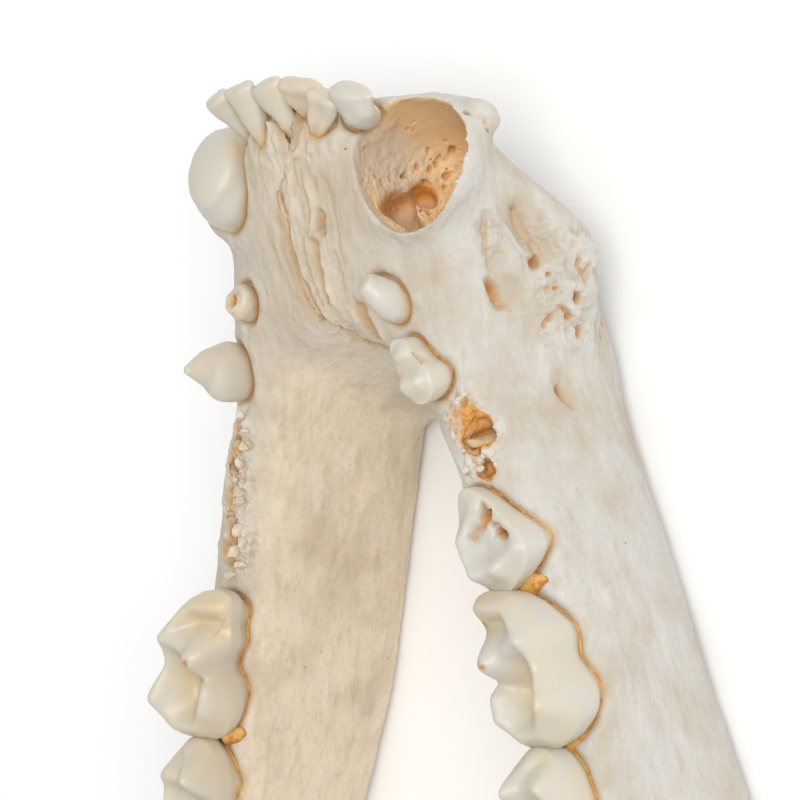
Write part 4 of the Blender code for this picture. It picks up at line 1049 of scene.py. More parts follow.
def joint_line(y, z):
    """Where the joint at the chin lies, as its distance to the left of the middle."""
    fade = np.clip((z + 9.0) / 6.0, 0, 1)
    fade = fade * fade * (3 - 2 * fade)
    spots = np.stack((np.zeros_like(y), y / 0.8, z / 1.6), -1).reshape(-1, 3)
    jagged = rough(spots, 301, 2).reshape(np.shape(y))
    return fade * (smooth_values(JOINT_Y, JOINT_X, y) + 0.13 * jagged)


def joint_cutter(side):
    """A block that reaches from the joint to far on the other side. Its face follows the joint's line."""
    ys = np.linspace(*CUTTER_Y)
    zs = np.linspace(*CUTTER_Z)
    grid_y, grid_z = np.meshgrid(ys, zs, indexing="ij")
    line = joint_line(grid_y, grid_z) + side * JOINT_GAP
    last_y, last_z = len(ys) - 1, len(zs) - 1
    bm = bmesh.new()
    sheets = []
    for x in (line, np.full(line.shape, -side * CUTTER_X)):
        places = np.stack((x, grid_y, grid_z), 2) * MM
        sheets.append([[bm.verts.new(place) for place in row] for row in places])
    for sheet in sheets:
        for i in range(last_y):
            for j in range(last_z):
                bm.faces.new((sheet[i][j], sheet[i + 1][j], sheet[i + 1][j + 1], sheet[i][j + 1]))
    near, far = sheets
    for i in range(last_y):
        for j in (0, last_z):
            bm.faces.new((near[i][j], near[i + 1][j], far[i + 1][j], far[i][j]))
    for j in range(last_z):
        for i in (0, last_y):
            bm.faces.new((near[i][j], near[i][j + 1], far[i][j + 1], far[i][j]))
    return closed_object("joint", bm)


def socket_relief(p, n):
    """Relief and stain of the empty socket's wall, which is smooth in front and spongy behind, with shade
    painted deep in its caves.
    """
    inside, inwards = socket_inside(p)
    facing = np.clip(0.35 + (n * inwards).sum(1) / 0.5, 0, 1)
    rim = RIM_HEIGHT - p[:, 2] - RIM_SLOPE[0] * (p[:, 0] - 9) - RIM_SLOPE[1] * (p[:, 1] + 16)
    below_rim = np.clip(rim / (0.5 + 1.0 * np.clip((9.5 - p[:, 0]) / 3, 0, 1)), 0, 1)
    caved = np.zeros(len(p))
    for path, radii in CAVES:
        caved = np.maximum(caved, near_path(p, path[1:], max(radii[1]) + 0.6))
    wall = np.clip((inside + 0.2) / 0.1, 0, 1) * facing
    within = below_rim * np.maximum(wall, np.clip(caved * 2.4 - 0.6, 0, 1))
    behind = np.clip((p[:, 1] + 17.2) / 2.4, 0, 1)
    spongy = within * behind
    warp = warped(p, 0.22, 0.8, (81, 82, 83))
    first, second = cells(warp / 0.62, 91)
    large = pits(warp / 0.85, 0.3, 131)
    small = pits(warp / 0.45, 0.45, 141)
    web = np.clip((second - first) / 0.3, 0, 1)
    calm = 1 - 0.8 * np.clip(caved * 2.0 - 0.6, 0, 1)
    rise = within * (0.04 * rough(p / 1.2, 97) - 0.1 * pits(p / 0.6, 0.1, 151))
    rise += spongy * calm * (0.07 * rough(p / 0.6, 99, 3) - 0.24 * large - 0.12 * small - 0.05 * (1 - web))
    stain = spongy * calm * np.clip(0.7 * large + 0.3 * small + 0.1 * (1 - web), 0, 1)
    stain = np.maximum(stain, within * 0.8 * pits(p / 0.6, 0.1, 151))
    for centre, radius, depth in SOCKET_PITS:
        pit = 1 / (1 + (np.linalg.norm(warp - centre, axis=1) / (0.8 * radius)) ** 4)
        rise -= 0.8 * depth * pit * within
        stain = np.maximum(stain, within * 0.95 * pit)
    # Painted shade: darker deep in the caves, off the socket's axis, most towards the front
    deep = np.clip(caved * 2.2 - 0.9, 0, 1) * np.clip(0.15 - inside, 0, 0.3) / 0.3
    deep *= np.clip((-11.3 - p[:, 1]) / 2.0, 0.35, 1)
    stain = np.maximum(stain, within * 1.2 * deep)
    soft_edge = np.clip((p[:, 0] - SOCKET_FADE[0]) / SOCKET_FADE[1], 0, 1)
    return rise, within * (0.1 + 0.9 * soft_edge), stain, behind


def chin_relief(p):
    """Relief and stain of the rough bone around the nerve holes on the right, and the shade painted into its
    hollows and low lumps.
    """
    chin = np.clip(2.4 * nearness(p, ROUGH_PLACES) - 0.15, 0, 1)
    warp = warped(p, 0.3, 1.1, (401, 411, 421))
    first, second = cells(warp / 1.1, 61)
    worms = np.clip((second - first) / 0.2, 0, 1)
    small = pits(p / 0.8 + 0.12 * rough(p / 0.5, 431)[:, None], 0.22, 441)
    lumps = rough(warp / 1.1, 451, 3)
    rise = chin * (0.22 * lumps - 0.04 * (1 - worms) - 0.16 * small + 0.05 * rough(p / 0.3, 461, 2))
    stain = chin * 0.35 * small
    hollow_shade = np.zeros(len(p))
    # Each hollow is pressed in and painted with shade
    for centre, reach, depth in HOLLOWS:
        near = around(warp * 0.4 + p * 0.6, centre, reach)
        rise -= near * depth
        hollow_shade = np.maximum(hollow_shade, 0.9 * near)
    for centre, radius, depth in RIGHT_PITS:
        pit = 1 / (1 + (np.linalg.norm(warp * 0.5 + p * 0.5 - centre, axis=1) / radius) ** 4)
        rise -= depth * pit
        stain = np.maximum(stain, 0.9 * pit)
    for path, width, height, tint in CHIN_STRANDS:
        near = near_path(warp * 0.4 + p * 0.6, path, width)
        rise += height * near
        stain = np.maximum(stain, tint * near)
    # Painted shade where the lumps are low
    hollow_shade = np.maximum(hollow_shade, chin * np.clip(0.1 - 1.2 * lumps, 0, 1))
    return rise, stain, hollow_shade


def plain_relief(signed, middle):
    """Relief and stain of plain bone, with the strands along the joint at the chin."""
    warp = warped(signed, 0.12, 0.9, (501, 511, 521))
    rise = WAVE_HEIGHT * rough(signed / WAVE_SIZE, 11) + FIBRE_HEIGHT * noise(signed / FIBRE_SIZE, 21)
    rise += (GRAIN_HEIGHT * rough(signed / GRAIN_SIZE, 25, 2)
             - PORE_DEPTH * pits(signed / PORE_SIZE, PORE_SHARE, 27))
    strands = 1 - np.abs(rough(warp * (1.5, 0.22, 0.7), 41, 2))
    fibres = 1 - np.abs(rough(warp * (4.0, 0.5, 1.6), 45, 2))
    rise += middle * (0.2 * (strands**3 - 0.45) + 0.11 * (fibres**2 - 0.5))
    stain = np.zeros(len(signed))
    uneven = 0.75 + 0.35 * noise(signed / 0.9, 531)
    for path, width, height, tint in STRANDS:
        near = near_path(warp, path, width)
        rise += height * near * uneven
        stain = np.maximum(stain, tint * near)
    return rise, stain


def slot_walls(p, n, side):
    """1 on the walls of the broken sockets and 0 away from them."""
    opened = np.zeros(len(p))
    for path, radii in SLOTS[side]:
        gap = path_gap(p, path)
        distance = np.linalg.norm(gap, axis=1)
        facing = np.clip((n * gap).sum(1) / (distance + 0.01) * 3 + 0.2, 0, 1)
        opened = np.maximum(opened, facing * np.clip((1.25 * max(radii[0]) - distance) / 0.3, 0, 1))
    return opened * np.clip((SLOT_TOP - p[:, 2]) / 0.9, 0, 1)


def shape_detail(obj, side, tooth_tree):
    """Gives the skin its fine relief, and returns the masks that colour it, some of which paint shade."""
    p = read_points(obj, side)
    n = read_normals(obj, side)
    signed = p * (side, 1, 1)
    middle = bell(signed[:, 0], STRANDS_WIDTH) * np.clip((p[:, 2] + 9) / 6, 0, 1)
    middle *= np.clip((-3.0 - p[:, 1]) / 3, 0, 1)
    rise, stain = plain_relief(signed, middle)

    socket, spongy, hollow, hollow_shade = np.zeros((4, len(p)))
    if side < 0:
        chin_rise, chin_stain, hollow_shade = chin_relief(p)
        socket_rise, socket, socket_stain, spongy = socket_relief(p, n)
        rise = rise * (1 - socket) + socket_rise + chin_rise * (1 - socket)
        hollow = np.maximum(chin_stain * (1 - socket), socket_stain)

    broken = np.clip(2.0 * nearness(p, BROKEN_PLACES[side]) - 0.35, 0, 1)
    first, _ = cells(p / BROKEN_CELL + 0.35 * rough(p / 0.6, 101)[:, None], 111)
    rise += broken * (BROKEN_HEIGHT[side] * (0.5 - first) + BROKEN_GRAIN * rough(p / 0.5, 121))

    gap = distances(obj, tooth_tree, TOOTH_REACH, TOOTH_FOOT_Z)
    groove = bell(gap, GROOVE_WIDTH) * (1 - 0.8 * broken)
    margin = bell(gap - MARGIN_AWAY, MARGIN_WIDTH) * (1 - broken)
    rise += MARGIN_HEIGHT * margin * (1 + noise(p / 0.6, 161)) - GROOVE_DEPTH * groove
    write_points(obj, p + n * rise[:, None], side)

    away = signed[:, 0] - joint_line(p[:, 1], p[:, 2])
    stain = np.maximum(stain, JOINT_STAIN * bell(away, JOINT_STAIN_WIDTH))
    seam = 1 - around(signed, CANINE_NECK, CANINE_REACH) * CANINE_CLEAN * (side > 0)
    speckle = 0.75 + 0.5 * noise(p / 0.22, 691)
    stain = np.maximum(stain, bell(gap, SEAM_WIDTH) * seam * speckle)
    stain = np.maximum(stain, broken * np.clip(-rise / 0.3, 0, 1) * BROKEN_STAIN[side])
    opened = slot_walls(p, n, side)
    hollow = np.maximum(hollow, SLOT_STAIN[side] * opened * (1 + 0.4 * noise(p / 0.5, 711)))
    broken *= 1 - 0.8 * opened
    on_left = np.clip((signed[:, 0] + 10.0) / 4.0, 0, 1)
    return {
        "stain": np.clip(stain, 0, 1),
        "socket": socket,
        "hollow": np.clip(hollow, 0, 1),
        # Inner faces and the band along the joint: the bone's warmer tone there, and painted warm shade of
        # light bounced between the bones
        "inward": np.clip(np.maximum((-n[:, 0] - 0.1) / 0.5, middle), 0, 1),
        # Faces that look upwards, except on the outer right side: painted shade
        "upper": np.clip((n[:, 2] - 0.4) / 0.4, 0, 1) * on_left,
        # Low places and the chin's hollows: painted shade
        "valley": np.clip(np.maximum((0.02 - rise) / 0.3, hollow_shade), 0, 1) * (1 - socket),
        "spongy": spongy,
        "broken": broken,
    }


def distances(obj, tree, reach, lowest=-99.0):
    """Distance in millimetres from each vertex to the nearest face, up to the reach.

    Vertices below the lowest level count as out of reach.
    """
    gap = np.full(len(obj.data.vertices), reach)
    for v in obj.data.vertices:
        if v.co.z > lowest * MM:
            _, _, _, away = tree.find_nearest(v.co, reach * MM)
            if away is not None:
                gap[v.index] = away / MM
    return gap


def closed_curve(points, count):
    """A smooth closed curve through these points, read at even steps of angle about the origin."""
    points = np.asarray(points, float)
    total = len(points)
    fine = []
    for i in range(total):
        before, here, after, beyond = (points[(i + k) % total] for k in (-1, 0, 1, 2))
        slope = after - before
        bend = 2 * before - 5 * here + 4 * after - beyond
        twist = 3 * here - before - 3 * after + beyond
        for t in np.linspace(0, 1, 12, endpoint=False):
            fine.append(0.5 * (2 * here + slope * t + bend * t**2 + twist * t**3))
    fine = np.array(fine)
    angle = np.arctan2(fine[:, 1], fine[:, 0])
    order = np.argsort(angle)
    at = np.linspace(-pi, pi, count, endpoint=False)
    return np.stack([np.interp(at, angle[order], fine[order, i], period=2 * pi) for i in range(2)], 1)


def crest_height(u, v, crests, basin, half_length, half_width):
    """Height of a chewing face: the highest of its crests over the basin, softly blended."""
    levels = [np.full(len(u), basin)]
    here = np.stack((u * half_length, v * half_width), 1)
    for u0, v0, h0, u1, v1, h1 in crests:
        start = np.array((u0 * half_length, v0 * half_width))
        run = np.array((u1 * half_length, v1 * half_width)) - start
        length = np.dot(run, run)
        share = np.clip((here - start) @ run / length, 0, 1) if length else np.zeros(len(u))
        away = np.linalg.norm(here - start - share[:, None] * run, axis=1)
        levels.append(h0 + (h1 - h0) * share - CREST_FALL * away**2 / (away + CREST_ROUND))
    return np.log(np.exp(CREST_BLEND * np.array(levels)).sum(0)) / CREST_BLEND


def tooth_axes(heading):
    """The ways ahead and outwards of a tooth that is turned inwards by this heading."""
    turn = radians(heading)
    return np.array((-sin(turn), -cos(turn))), np.array((cos(turn), -sin(turn)))


def neck_drop(level):
    """How much further down the outer wall of a grinding tooth reaches at this level of its neck."""
    return OUTER_NECK_DROP * min(max(GRINDER_WALLS[-1][1] - level, 0), 1)


def grinder(name, middle, heading, length, width, gum, outline, crests, basin, side):
    """A grinding tooth: root, neck, bulging walls and a chewing face with crests."""
    ahead, outwards = tooth_axes(heading)
    curve = closed_curve(outline, GRINDER_SIDES)
    half = np.array((length, width)) / 2
    along = np.linspace(0, len(GRINDER_WALLS) - 1, WALL_RINGS)
    rings = []
    for share, level in smooth_track(GRINDER_WALLS, along):
        u, v = curve.T
        rings.append(np.stack((u * share, v * share, level - neck_drop(level) * (v + 1) / 2), 1))
    belly = GRINDER_WALLS[-1][1]
    for share in np.cos(np.linspace(0.12, pi / 2 - 0.03, FACE_RINGS)) ** 0.9:
        roll = (1 - max((share - 0.62) / 0.38, 0) ** 2.4) ** 0.6
        u, v = curve.T * share
        top = crest_height(u, v, crests, basin, *half)
        rings.append(np.stack((u, v, belly + (top - belly) * roll), 1))
    placed = []
    for ring in rings:
        spots = np.array(middle) + ring[:, :1] * half[0] * ahead + ring[:, 1:2] * half[1] * outwards
        placed.append([(x, y, gum + z) for (x, y), z in zip(spots, ring[:, 2])])
    return loft(name, placed, side)


def incisor(name, side, root, neck, tip, neck_half, crown_half, hollow):
    """A narrow front tooth that broadens to a worn end, which slopes to face upwards."""
    along = np.linspace(0, 2, 44)
    centre = smooth_track((root, neck, tip), along)
    crown = smooth_values(INCISOR_STATIONS, INCISOR_CROWN, along)
    across = neck_half[0] + (crown_half[0] - neck_half[0]) * crown
    deep = neck_half[1] + (crown_half[1] - neck_half[1]) * crown
    trough = smooth_values(INCISOR_STATIONS, np.array(INCISOR_TROUGH) * hollow, along)
    wear = np.clip((along - 1.2) / 0.8, 0, 1) * INCISOR_WEAR
    forward = directions(centre)
    stages = list(zip(centre, forward, across, deep, trough, wear))
    for angle in np.linspace(0, pi / 2, 8)[1:-1]:
        shift, share = INCISOR_DOME * sin(angle), cos(angle) ** 0.45
        for at, sign in ((-1, 1), (0, -1)):
            point = centre[at] + sign * forward[at] * shift
            stage = (point, forward[at], across[at] * share, deep[at] * share, trough[at] * share, wear[at])
            stages.insert(len(stages) if sign > 0 else 0, stage)
    loops = []
    for point, ahead, wide, thick, groove, slope in stages:
        first, second = square_to(ahead)
        up = np.sign(second[2])
        loop = []
        for a in full_turn(56):
            dip = groove * bell(cos(a), 0.5) if sin(a) * up > 0 else 0
            lift = thick * sin(a) - np.sign(sin(a)) * dip
            loop.append(tuple(point + wide * cos(a) * first + lift * second - slope * lift * up * ahead))
        loops.append(loop)
    return loft(name, loops, side)


def tooth_detail(tooth, key, side):
    """Gives a tooth its slight unevenness and its worn hollows, and stains what is deep."""
    p = read_points(tooth, side)
    n = read_normals(tooth, side)
    stain = np.zeros(len(p))
    lumpy = TOOTH_LUMPS.get(key[:2], PLAIN_TOOTH_LUMPS)
    rise = lumpy * rough(p / 1.3 + side * 7.0, 601, 2) + 0.012 * rough(p / 0.35 + side * 9.0, 611, 2)
    warp = warped(p, 0.1, 0.4, (621, 631, 641))
    for owner, path, radius, depth in TOOTH_PITS:
        if owner == key:
            near = near_path(warp, path, radius)
            rise -= depth * near
            stain = np.maximum(stain, near)
    write_points(tooth, p + n * rise[:, None], side)
    set_mask(tooth, "pulp", np.clip(stain * 1.7 - 0.2, 0, 1))
    warm = TOOTH_WARMTH.get(key, TOOTH_WARMTH[SIDE_NAMES[side]])
    yellow = warm * (1 + 0.35 * noise(p / 1.6, 681))
    for owner, centre, radius, amount in TOOTH_TINTS:
        if owner == key:
            yellow += amount * around(p, centre, radius)
    if key.startswith("m"):
        yellow += 0.6 * np.clip((3.4 - p[:, 2]) / 1.6, 0, 1) * np.clip(n[:, 2] * 1.4, 0, 1)
    set_mask(tooth, "yellow", np.clip(yellow, 0, 1))


def splinter(number, place, sizes, outwards, back, side):
    """A sharp chip: a ball cut flat by a few planes."""
    bm = bmesh.new()
    bmesh.ops.create_icosphere(bm, subdivisions=4, radius=1.0)
    points = np.array([v.co for v in bm.verts])
    chooser = np.random.default_rng(700 + number)
    for _ in range(FACETS):
        normal = chooser.normal(size=3)
        normal /= np.linalg.norm(normal)
        limit = chooser.uniform(0.35, 0.75)
        over = np.maximum(points @ normal - limit, 0)
        points -= 0.94 * over[:, None] * normal
    points += 0.05 * rough(points * 2.0 + number * 3.1, 651, 3)[:, None] * points
    turn = Matrix.Rotation(radians(outwards), 3, "Y") @ Matrix.Rotation(-radians(back), 3, "X")
    for v, co in zip(bm.verts, points * sizes):
        x, y, z = np.array(turn @ Vector(co)) + place
        v.co = (side * x * MM, y * MM, z * MM)
    return closed_object("splinter", bm)


def splinters(side):
    """All the chips of one side, as one piece."""
    chips = []
    for number, (own_side, *shape) in enumerate(SPLINTERS):
        if own_side == side:
            chips.append(splinter(number, *shape, side))
    piece = join(chips, f"splinters_{SIDE_NAMES[side]}")
    for mask, values in SPLINTER_MASKS.items():
        set_mask(piece, mask, np.full(len(piece.data.vertices), values[side]))
    return piece


def gum_line(middle, heading, length, width, gum, outline, side, bone_tree):
    """Where the wall of a grinding tooth enters the bone, as points all round it."""
    ahead, outwards = tooth_axes(heading)
    half = np.array((length, width)) / 2
    shares, levels = zip(*GRINDER_WALLS)
    spots = []
    for u, v in closed_curve(outline, GUM_STEPS):
        for level in np.linspace(*GUM_LEVELS):
            share = float(smooth_values(levels, shares, level))
            x, y = np.array(middle) + u * share * half[0] * ahead + v * share * half[1] * outwards
            spot = Vector((side * x, y, gum + level - neck_drop(level) * (v + 1) / 2)) * MM
            near, normal, _, _ = bone_tree.find_nearest(spot)
            if (spot - near).dot(normal) < GUM_CLEARANCE * MM:
                break
        spots.append(np.array(spot) / MM)
    spots = np.array(spots)
    for _ in range(4):
        spots = (np.roll(spots, 1, 0) + 2 * spots + np.roll(spots, -1, 0)) / 4
    return spots


def gum_ring(key, *shape, side, bone_tree):
    """Dried gum around a grinding tooth, where its wall enters the bone."""
    spots = gum_line(*shape, side, bone_tree)
    centre = spots.mean(0)
    bm = bmesh.new()
    loops = []
    for i, spot in enumerate(spots):
        ahead = spots[(i + 1) % len(spots)] - spots[i - 1]
        ahead /= np.linalg.norm(ahead)
        away = spot - centre
        away[2] = 0
        away -= ahead * (away @ ahead)
        away /= np.linalg.norm(away)
        other = np.cross(ahead, away)
        thick = GUM_THICKNESS * GUM_SHARES.get(key, 1.0) * (1 + 0.5 * noise(spot[None] / 0.5, 661)[0])
        loop = []
        for a in full_turn(10):
            point = spot + thick * (cos(a) * away + sin(a) * other)
            point = point + away * 0.02 + 0.05 * rough(point[None] / 0.2, 671, 2)[0] * away
            loop.append(bm.verts.new(Vector(point) * MM))
        loops.append(loop)
    for low, high in zip(loops, loops[1:] + loops[:1]):
        close_strip(bm, low, high)
    return closed_object(f"gum_{key}_{SIDE_NAMES[side]}", bm)


def gum_pieces(side, bone_tree):
    """Dried gum around the grinding teeth of one side, and its webs between them."""
    pieces = []
    for key, sides, *shape, _, _ in GRINDERS:
        if side in sides:
            pieces.append(gum_ring(key, *shape, side=side, bone_tree=bone_tree))
    for key, sides, path, radii in GUM_WEBS:
        if side in sides:
            pieces.append(tube(f"gum_web_{key}_{SIDE_NAMES[side]}", path, radii, side, steps=16, points=24))
    return pieces


def teeth(side):
    """All the teeth and stumps of one side."""
    pieces = []
    for name, sides, *tooth in GRINDERS:
        if side in sides:
            pieces.append(grinder(name, *tooth, side))
    for name, sides, path, radii in PEGS:
        if side in sides:
            pieces.append(tube(name, path, radii, side, steps=30, points=48))
    for name, own_side, *shape in INCISORS:
        if own_side == side:
            pieces.append(incisor(name, side, *shape))
    for piece in pieces:
        tooth_detail(piece, f"{piece.name.split('.')[0]}_{SIDE_NAMES[side]}", side)
    return pieces


def mesh_tree(objects):
    """A search tree over these objects' faces."""
    bm = bmesh.new()
    for obj in objects:
        bm.from_mesh(obj.data)
    tree = BVHTree.FromBMesh(bm)
    bm.free()
    return tree


def build_bone(side, name, tooth_tree):
    """One dentary bone without its teeth, with its relief and the masks of its colours."""
    root_radii = FILLED_ROOT_RADII if side > 0 else OPEN_ROOT_RADII
    pieces = [
        dentary_body(side),
        chin_block(side),
        ramus_plate(side),
        condyle(side),
        tube("neck", NECK_PATH, NECK_RADII, side),
        tube("angle", ANGLE_PATH, ANGLE_RADII, side),
        tube("canine_root", CANINE_ROOT_PATH, root_radii, side, points=24, egg=CANINE_EGG),
    ]
    if side < 0:
        pieces.append(tube("knob", KNOB_PATH, KNOB_RADII, side))
    bone = join(pieces, name)
    blend_bone(bone, BLEND_VOXEL, BLEND_SMOOTHING)
    soften_places(bone, side)
    push_relief(bone, side)
    cutters = [joint_cutter(side), nerve_hole("nerve_hole", *MANDIBULAR_HOLE, side)]
    cutters += [tube("slot", path, radii, side, steps=8, points=20) for path, radii in SLOTS[side]]
    if side < 0:
        cutters.append(tube("socket", SOCKET_PATH, SOCKET_RADII, side, steps=20, points=48, egg=CANINE_EGG))
        cutters += [tube("cave", path, radii, side, steps=12, points=24) for path, radii in CAVES]
    cut(bone, cutters)
    blend_bone(bone, SKIN_VOXEL, SKIN_SMOOTHING)
    if side < 0:
        soften_caves(bone, side)
    refine(bone, side)
    for mask, values in shape_detail(bone, side, tooth_tree).items():
        set_mask(bone, mask, values)
    return bone


class Nodes:
    """Short calls that add and link a material's nodes."""

    def __init__(self, name):
        self.material = bpy.data.materials.new(name)
        self.material.use_nodes = True
        self.tree = self.material.node_tree
        self.shader = self.tree.nodes["Principled BSDF"]

    def add(self, kind, inputs=(), **settings):
        node = self.tree.nodes.new(kind)
        for key, value in settings.items():
            setattr(node, key, value)
        for socket, value in dict(inputs).items():
            self.set(node.inputs[socket], value)
        return node

    def set(self, socket, value):
        if isinstance(value, bpy.types.NodeSocket):
            self.tree.links.new(value, socket)
        else:
            socket.default_value = value

    def shade(self, inputs):
        for name, value in inputs.items():
            self.set(self.shader.inputs[name], value)

    def mask(self, name):
        return self.add("ShaderNodeAttribute", attribute_name=name).outputs["Fac"]

    def part(self, name, share):
        return self.math("MULTIPLY", self.mask(name), share)

    def place(self, scale=(1, 1, 1)):
        where = self.add("ShaderNodeTexCoord").outputs["Object"]
        return self.add("ShaderNodeMapping", {"Vector": where, "Scale": scale}).outputs["Vector"]

    def noise(self, vector, scale, detail=4.0, roughness=0.55):
        inputs = {"Vector": vector, "Scale": scale, "Detail": detail, "Roughness": roughness}
        return self.add("ShaderNodeTexNoise", inputs).outputs["Fac"]

    def cells(self, vector, scale):
        return self.add("ShaderNodeTexVoronoi", {"Vector": vector, "Scale": scale}).outputs["Distance"]

    def ramp(self, value, low, high, to_low=0.0, to_high=1.0):
        inputs = {"Value": value, "From Min": low, "From Max": high, "To Min": to_low, "To Max": to_high}
        return self.add("ShaderNodeMapRange", inputs, interpolation_type="SMOOTHSTEP").outputs["Result"]

    def math(self, operation, a, b):
        node = self.add("ShaderNodeMath", operation=operation)
        self.set(node.inputs[0], a)
        self.set(node.inputs[1], b)
        return node.outputs["Value"]

    def mix(self, share, a, b, blend="MIX"):
        node = self.add("ShaderNodeMix", data_type="RGBA", blend_type=blend)
        for socket, value in ((node.inputs[0], share), (node.inputs[6], a), (node.inputs[7], b)):
            self.set(socket, value)
        return node.outputs[2]

    def bump(self, height, distance, strength=1.0, under=None):
        inputs = {"Height": height, "Distance": distance, "Strength": strength}
        if under is not None:
            inputs["Normal"] = under
        return self.add("ShaderNodeBump", inputs).outputs["Normal"]


def linear(red, green, blue):
    """A display colour from 0 to 255 as linear light."""
    channels = [c / 255 for c in (red, green, blue)]
    return tuple(c / 12.92 if c <= 0.04045 else ((c + 0.055) / 1.055) ** 2.4 for c in channels) + (1.0,)


BONE_OUTER = linear(198, 195, 188)
# The inner faces' warmer tone, with painted warm shade
BONE_INNER_TONE_AND_SHADE = linear(226, 211, 188)
# Painted shade on faces that look upwards, except on the outer right side
BONE_TOP_SHADE = linear(200, 188, 170)
# Streaks of the bone's tone, also used as painted shade in low places
BONE_STREAK_AND_SHADE = linear(178, 160, 132)
BONE_PALE = linear(218, 213, 204)
SOCKET_COLOUR = linear(209, 178, 136)
SPONGE_COLOUR = linear(236, 206, 162)
# Orange of stained pits and broken sockets, also painted shade deep in the socket's caves
HOLLOW_STAIN_AND_SHADE = linear(210, 150, 74)
STAIN_COLOUR = linear(190, 146, 84)
SPECK_COLOUR = linear(96, 78, 62)
PULP_COLOUR = linear(186, 130, 58)
GUM_COLOUR = linear(214, 166, 92)
GUM_DARK = linear(182, 116, 40)
ENAMEL_COLOUR = linear(196, 194, 186)
ENAMEL_WARM = linear(212, 190, 150)
FLOOR_COLOUR = linear(253, 253, 253)


def bone_material():
    """Dry bone, streaked along the jaw and stained where the masks say, with painted shade: warm on the inner
    faces, which also have a warmer tone, and darker on faces that look up and in low places.
    """
    nodes = Nodes("dry_bone")
    here = nodes.place()
    along = nodes.place((1.0, 0.25, 1.0))
    clouds = nodes.noise(here, 180.0, 5.0)
    fibres = nodes.noise(along, 900.0, 6.0, 0.6)
    grain = nodes.noise(here, 2600.0, 3.0, 0.6)
    # Inner faces: warmer tone and painted warm shade
    colour = nodes.mix(nodes.mask("inward"), BONE_OUTER, BONE_INNER_TONE_AND_SHADE)
    # Painted shade on faces that look upwards, except on the outer right side
    colour = nodes.mix(nodes.part("upper", 0.8), colour, BONE_TOP_SHADE)
    for value, low, high, most, tint in (
        (clouds, 0.42, 0.72, 0.5, BONE_STREAK_AND_SHADE),
        (fibres, 0.5, 0.72, 0.4, BONE_STREAK_AND_SHADE),
        (fibres, 0.46, 0.25, 0.5, BONE_PALE),
        (grain, 0.5, 0.75, 0.3, BONE_STREAK_AND_SHADE),
    ):
        colour = nodes.mix(nodes.ramp(value, low, high, 0.0, most), colour, tint)
    # Painted shade in low places and in the chin's hollows
    colour = nodes.mix(nodes.part("valley", 0.55), colour, BONE_STREAK_AND_SHADE)
    colour = nodes.mix(nodes.part("broken", 0.5), colour, BONE_PALE)
    socket = nodes.mix(nodes.mask("spongy"), SOCKET_COLOUR, SPONGE_COLOUR)
    colour = nodes.mix(nodes.mask("socket"), colour, socket)
    # Stain of pits and broken sockets, with painted shade deep in the caves
    colour = nodes.mix(nodes.mask("hollow"), colour, HOLLOW_STAIN_AND_SHADE)
    blotches = nodes.ramp(nodes.noise(here, 700.0), 0.3, 0.6, 0.5, 1.0)
    colour = nodes.mix(nodes.part("stain", blotches), colour, STAIN_COLOUR)
    specks = nodes.ramp(nodes.cells(here, 330.0), 0.035, 0.02)
    colour = nodes.mix(nodes.math("MULTIPLY", specks, 0.8), colour, SPECK_COLOUR)
    pores = nodes.ramp(nodes.cells(along, 1600.0), 0.0, 0.28)
    porous = nodes.ramp(nodes.noise(here, 260.0), 0.45, 0.65)
    pores = nodes.mix(porous, (1, 1, 1, 1), pores)
    normal = nodes.bump(fibres, 0.00015, 0.6)
    normal = nodes.bump(pores, 0.00008, 0.6, normal)
    normal = nodes.bump(nodes.noise(here, 420.0, 6.0), 0.00025, 0.6, normal)
    nodes.shade({
        "Base Color": colour,
        "Roughness": nodes.ramp(clouds, 0.3, 0.7, 0.5, 0.66),
        "Subsurface Weight": 0.12,
        "Subsurface Radius": (1.0, 0.6, 0.35),
        "Subsurface Scale": 0.0012,
        "Specular IOR Level": 0.4,
        "Normal": normal,
    })
    return nodes.material


def enamel_material():
    """Worn enamel, yellow in patches, stained at its neck and orange where the pulp lies open."""
    nodes = Nodes("worn_enamel")
    here = nodes.place()
    clouds = nodes.noise(here, 240.0, 3.0)
    colour = nodes.mix(nodes.ramp(clouds, 0.4, 0.75, 0.0, 0.4), ENAMEL_COLOUR, ENAMEL_WARM)
    for mask, tint in (("yellow", ENAMEL_WARM), ("neck", STAIN_COLOUR), ("pulp", PULP_COLOUR)):
        colour = nodes.mix(nodes.mask(mask), colour, tint)
    nodes.shade({
        "Base Color": colour,
        "Roughness": nodes.ramp(nodes.noise(here, 900.0), 0.3, 0.7, 0.34, 0.48),
        "Subsurface Weight": 0.25,
        "Subsurface Radius": (1.0, 0.75, 0.5),
        "Subsurface Scale": 0.0015,
        "Coat Weight": 0.1,
        "Coat Roughness": 0.15,
        "Normal": nodes.bump(nodes.noise(here, 600.0, 4.0), 0.00008, 0.4),
    })
    return nodes.material


def gum_material():
    """Dried gum, translucent and darker in grains."""
    nodes = Nodes("dried_gum")
    grain = nodes.noise(nodes.place(), 1500.0, 3.0)
    nodes.shade({
        "Base Color": nodes.mix(nodes.ramp(grain, 0.4, 0.65), GUM_COLOUR, GUM_DARK),
        "Roughness": 0.5,
        "Subsurface Weight": 0.3,
        "Subsurface Radius": (1.0, 0.5, 0.2),
        "Subsurface Scale": 0.0005,
        "Normal": nodes.bump(grain, 0.00015, 0.6),
    })
    return nodes.material


def rest_matrix():
    """The turn and the shift from the jaw's own frame to the jaw as it rests."""
    return Matrix.Translation(Vector(REST_SHIFT) * MM) @ Matrix.Rotation(-radians(REST_TILT_DEG), 4, "X")


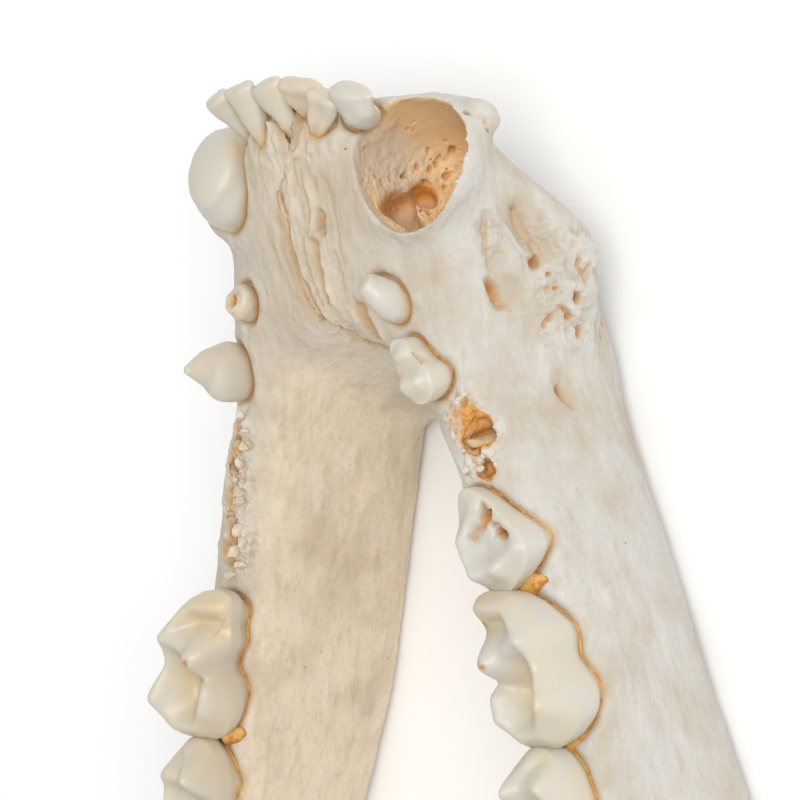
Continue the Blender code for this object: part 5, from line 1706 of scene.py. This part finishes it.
def place(obj):
    """Tips the piece as the jaw rests, within the box of the solids. Its place is in its mesh."""
    obj.data.transform(rest_matrix())
    points = np.empty(len(obj.data.vertices) * 3)
    obj.data.vertices.foreach_get("co", points)
    points = np.clip(points.reshape(-1, 3), *CAD_BOX)
    obj.data.vertices.foreach_set("co", points.ravel())
    for polygon in obj.data.polygons:
        polygon.use_smooth = True


def stain_neck(tooth, bone_tree):
    """Stains the tooth where it is close to the bone."""
    gap = distances(tooth, bone_tree, NECK_REACH)
    set_mask(tooth, "neck", bell(gap, NECK_WIDTH) * (gap < NECK_REACH))


def set_camera():
    """Looks at the jaw from above its right side, at the photo's scale."""
    back = Vector(VIEW_FROM).normalized()
    up = Vector(VIEW_UP).normalized()
    turn = Matrix((up.cross(back), up, back)).transposed().to_4x4()
    spot = Vector(VIEW_AIM) * MM + back * VIEW_DISTANCE * MM
    data = bpy.data.cameras.new("camera")
    data.sensor_width = SENSOR_MM
    data.lens = SENSOR_MM * PIXELS_PER_MM * VIEW_DISTANCE / PHOTO_PIXELS
    data.clip_start = 0.01
    camera = new_object("camera", data)
    camera.matrix_world = rest_matrix() @ Matrix.Translation(spot) @ turn
    bpy.context.scene.camera = camera


def set_lamp():
    """A soft lamp that shines at the middle of the floor."""
    data = bpy.data.lights.new("key", "AREA")
    data.size = LAMP_SIZE
    data.energy = LAMP_POWER
    lamp = new_object("key", data)
    lamp.location = LAMP_PLACE
    lamp.rotation_euler = (-Vector(LAMP_PLACE)).to_track_quat("-Z", "Y").to_euler()


def set_studio():
    """White surroundings, one lamp and a pale floor."""
    bpy.context.scene.view_settings.view_transform = "Standard"
    world = bpy.data.worlds.new("studio")
    world.use_nodes = True
    sky = world.node_tree.nodes["Background"]
    sky.inputs["Color"].default_value = (1, 1, 1, 1)
    sky.inputs["Strength"].default_value = WORLD_LIGHT
    bpy.context.scene.world = world
    set_lamp()
    bm = bmesh.new()
    bmesh.ops.create_grid(bm, x_segments=1, y_segments=1, size=FLOOR_SIZE)
    floor = mesh_object("floor", bm)
    nodes = Nodes("pale_floor")
    nodes.shade({"Base Color": FLOOR_COLOUR, "Roughness": 0.9})
    set_material(floor, nodes.material)


def dress(node, side, bone_skin, enamel, gum):
    """Builds all the pieces of one dentary, ties them to the root and hides the node's solid."""
    crowns = teeth(side)
    bone = build_bone(side, f"bone_{SIDE_NAMES[side]}", mesh_tree(crowns))
    bone_tree = mesh_tree([bone])
    for tooth in crowns:
        stain_neck(tooth, bone_tree)
        tooth.name = f"tooth_{tooth.name.split('.')[0]}_{SIDE_NAMES[side]}"
    gums = gum_pieces(side, bone_tree)
    chips = splinters(side)
    for material, pieces in ((bone_skin, (bone, chips)), (enamel, crowns), (gum, gums)):
        for piece in pieces:
            set_material(piece, material)
            place(piece)
            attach(piece, "root")
            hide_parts(node)


def main():
    """Both dentaries, the camera and the studio."""
    materials = (bone_material(), enamel_material(), gum_material())
    for side, node in ((1, "dentary_left"), (-1, "dentary_right")):
        dress(node, side, *materials)
    set_camera()
    set_studio()


main()
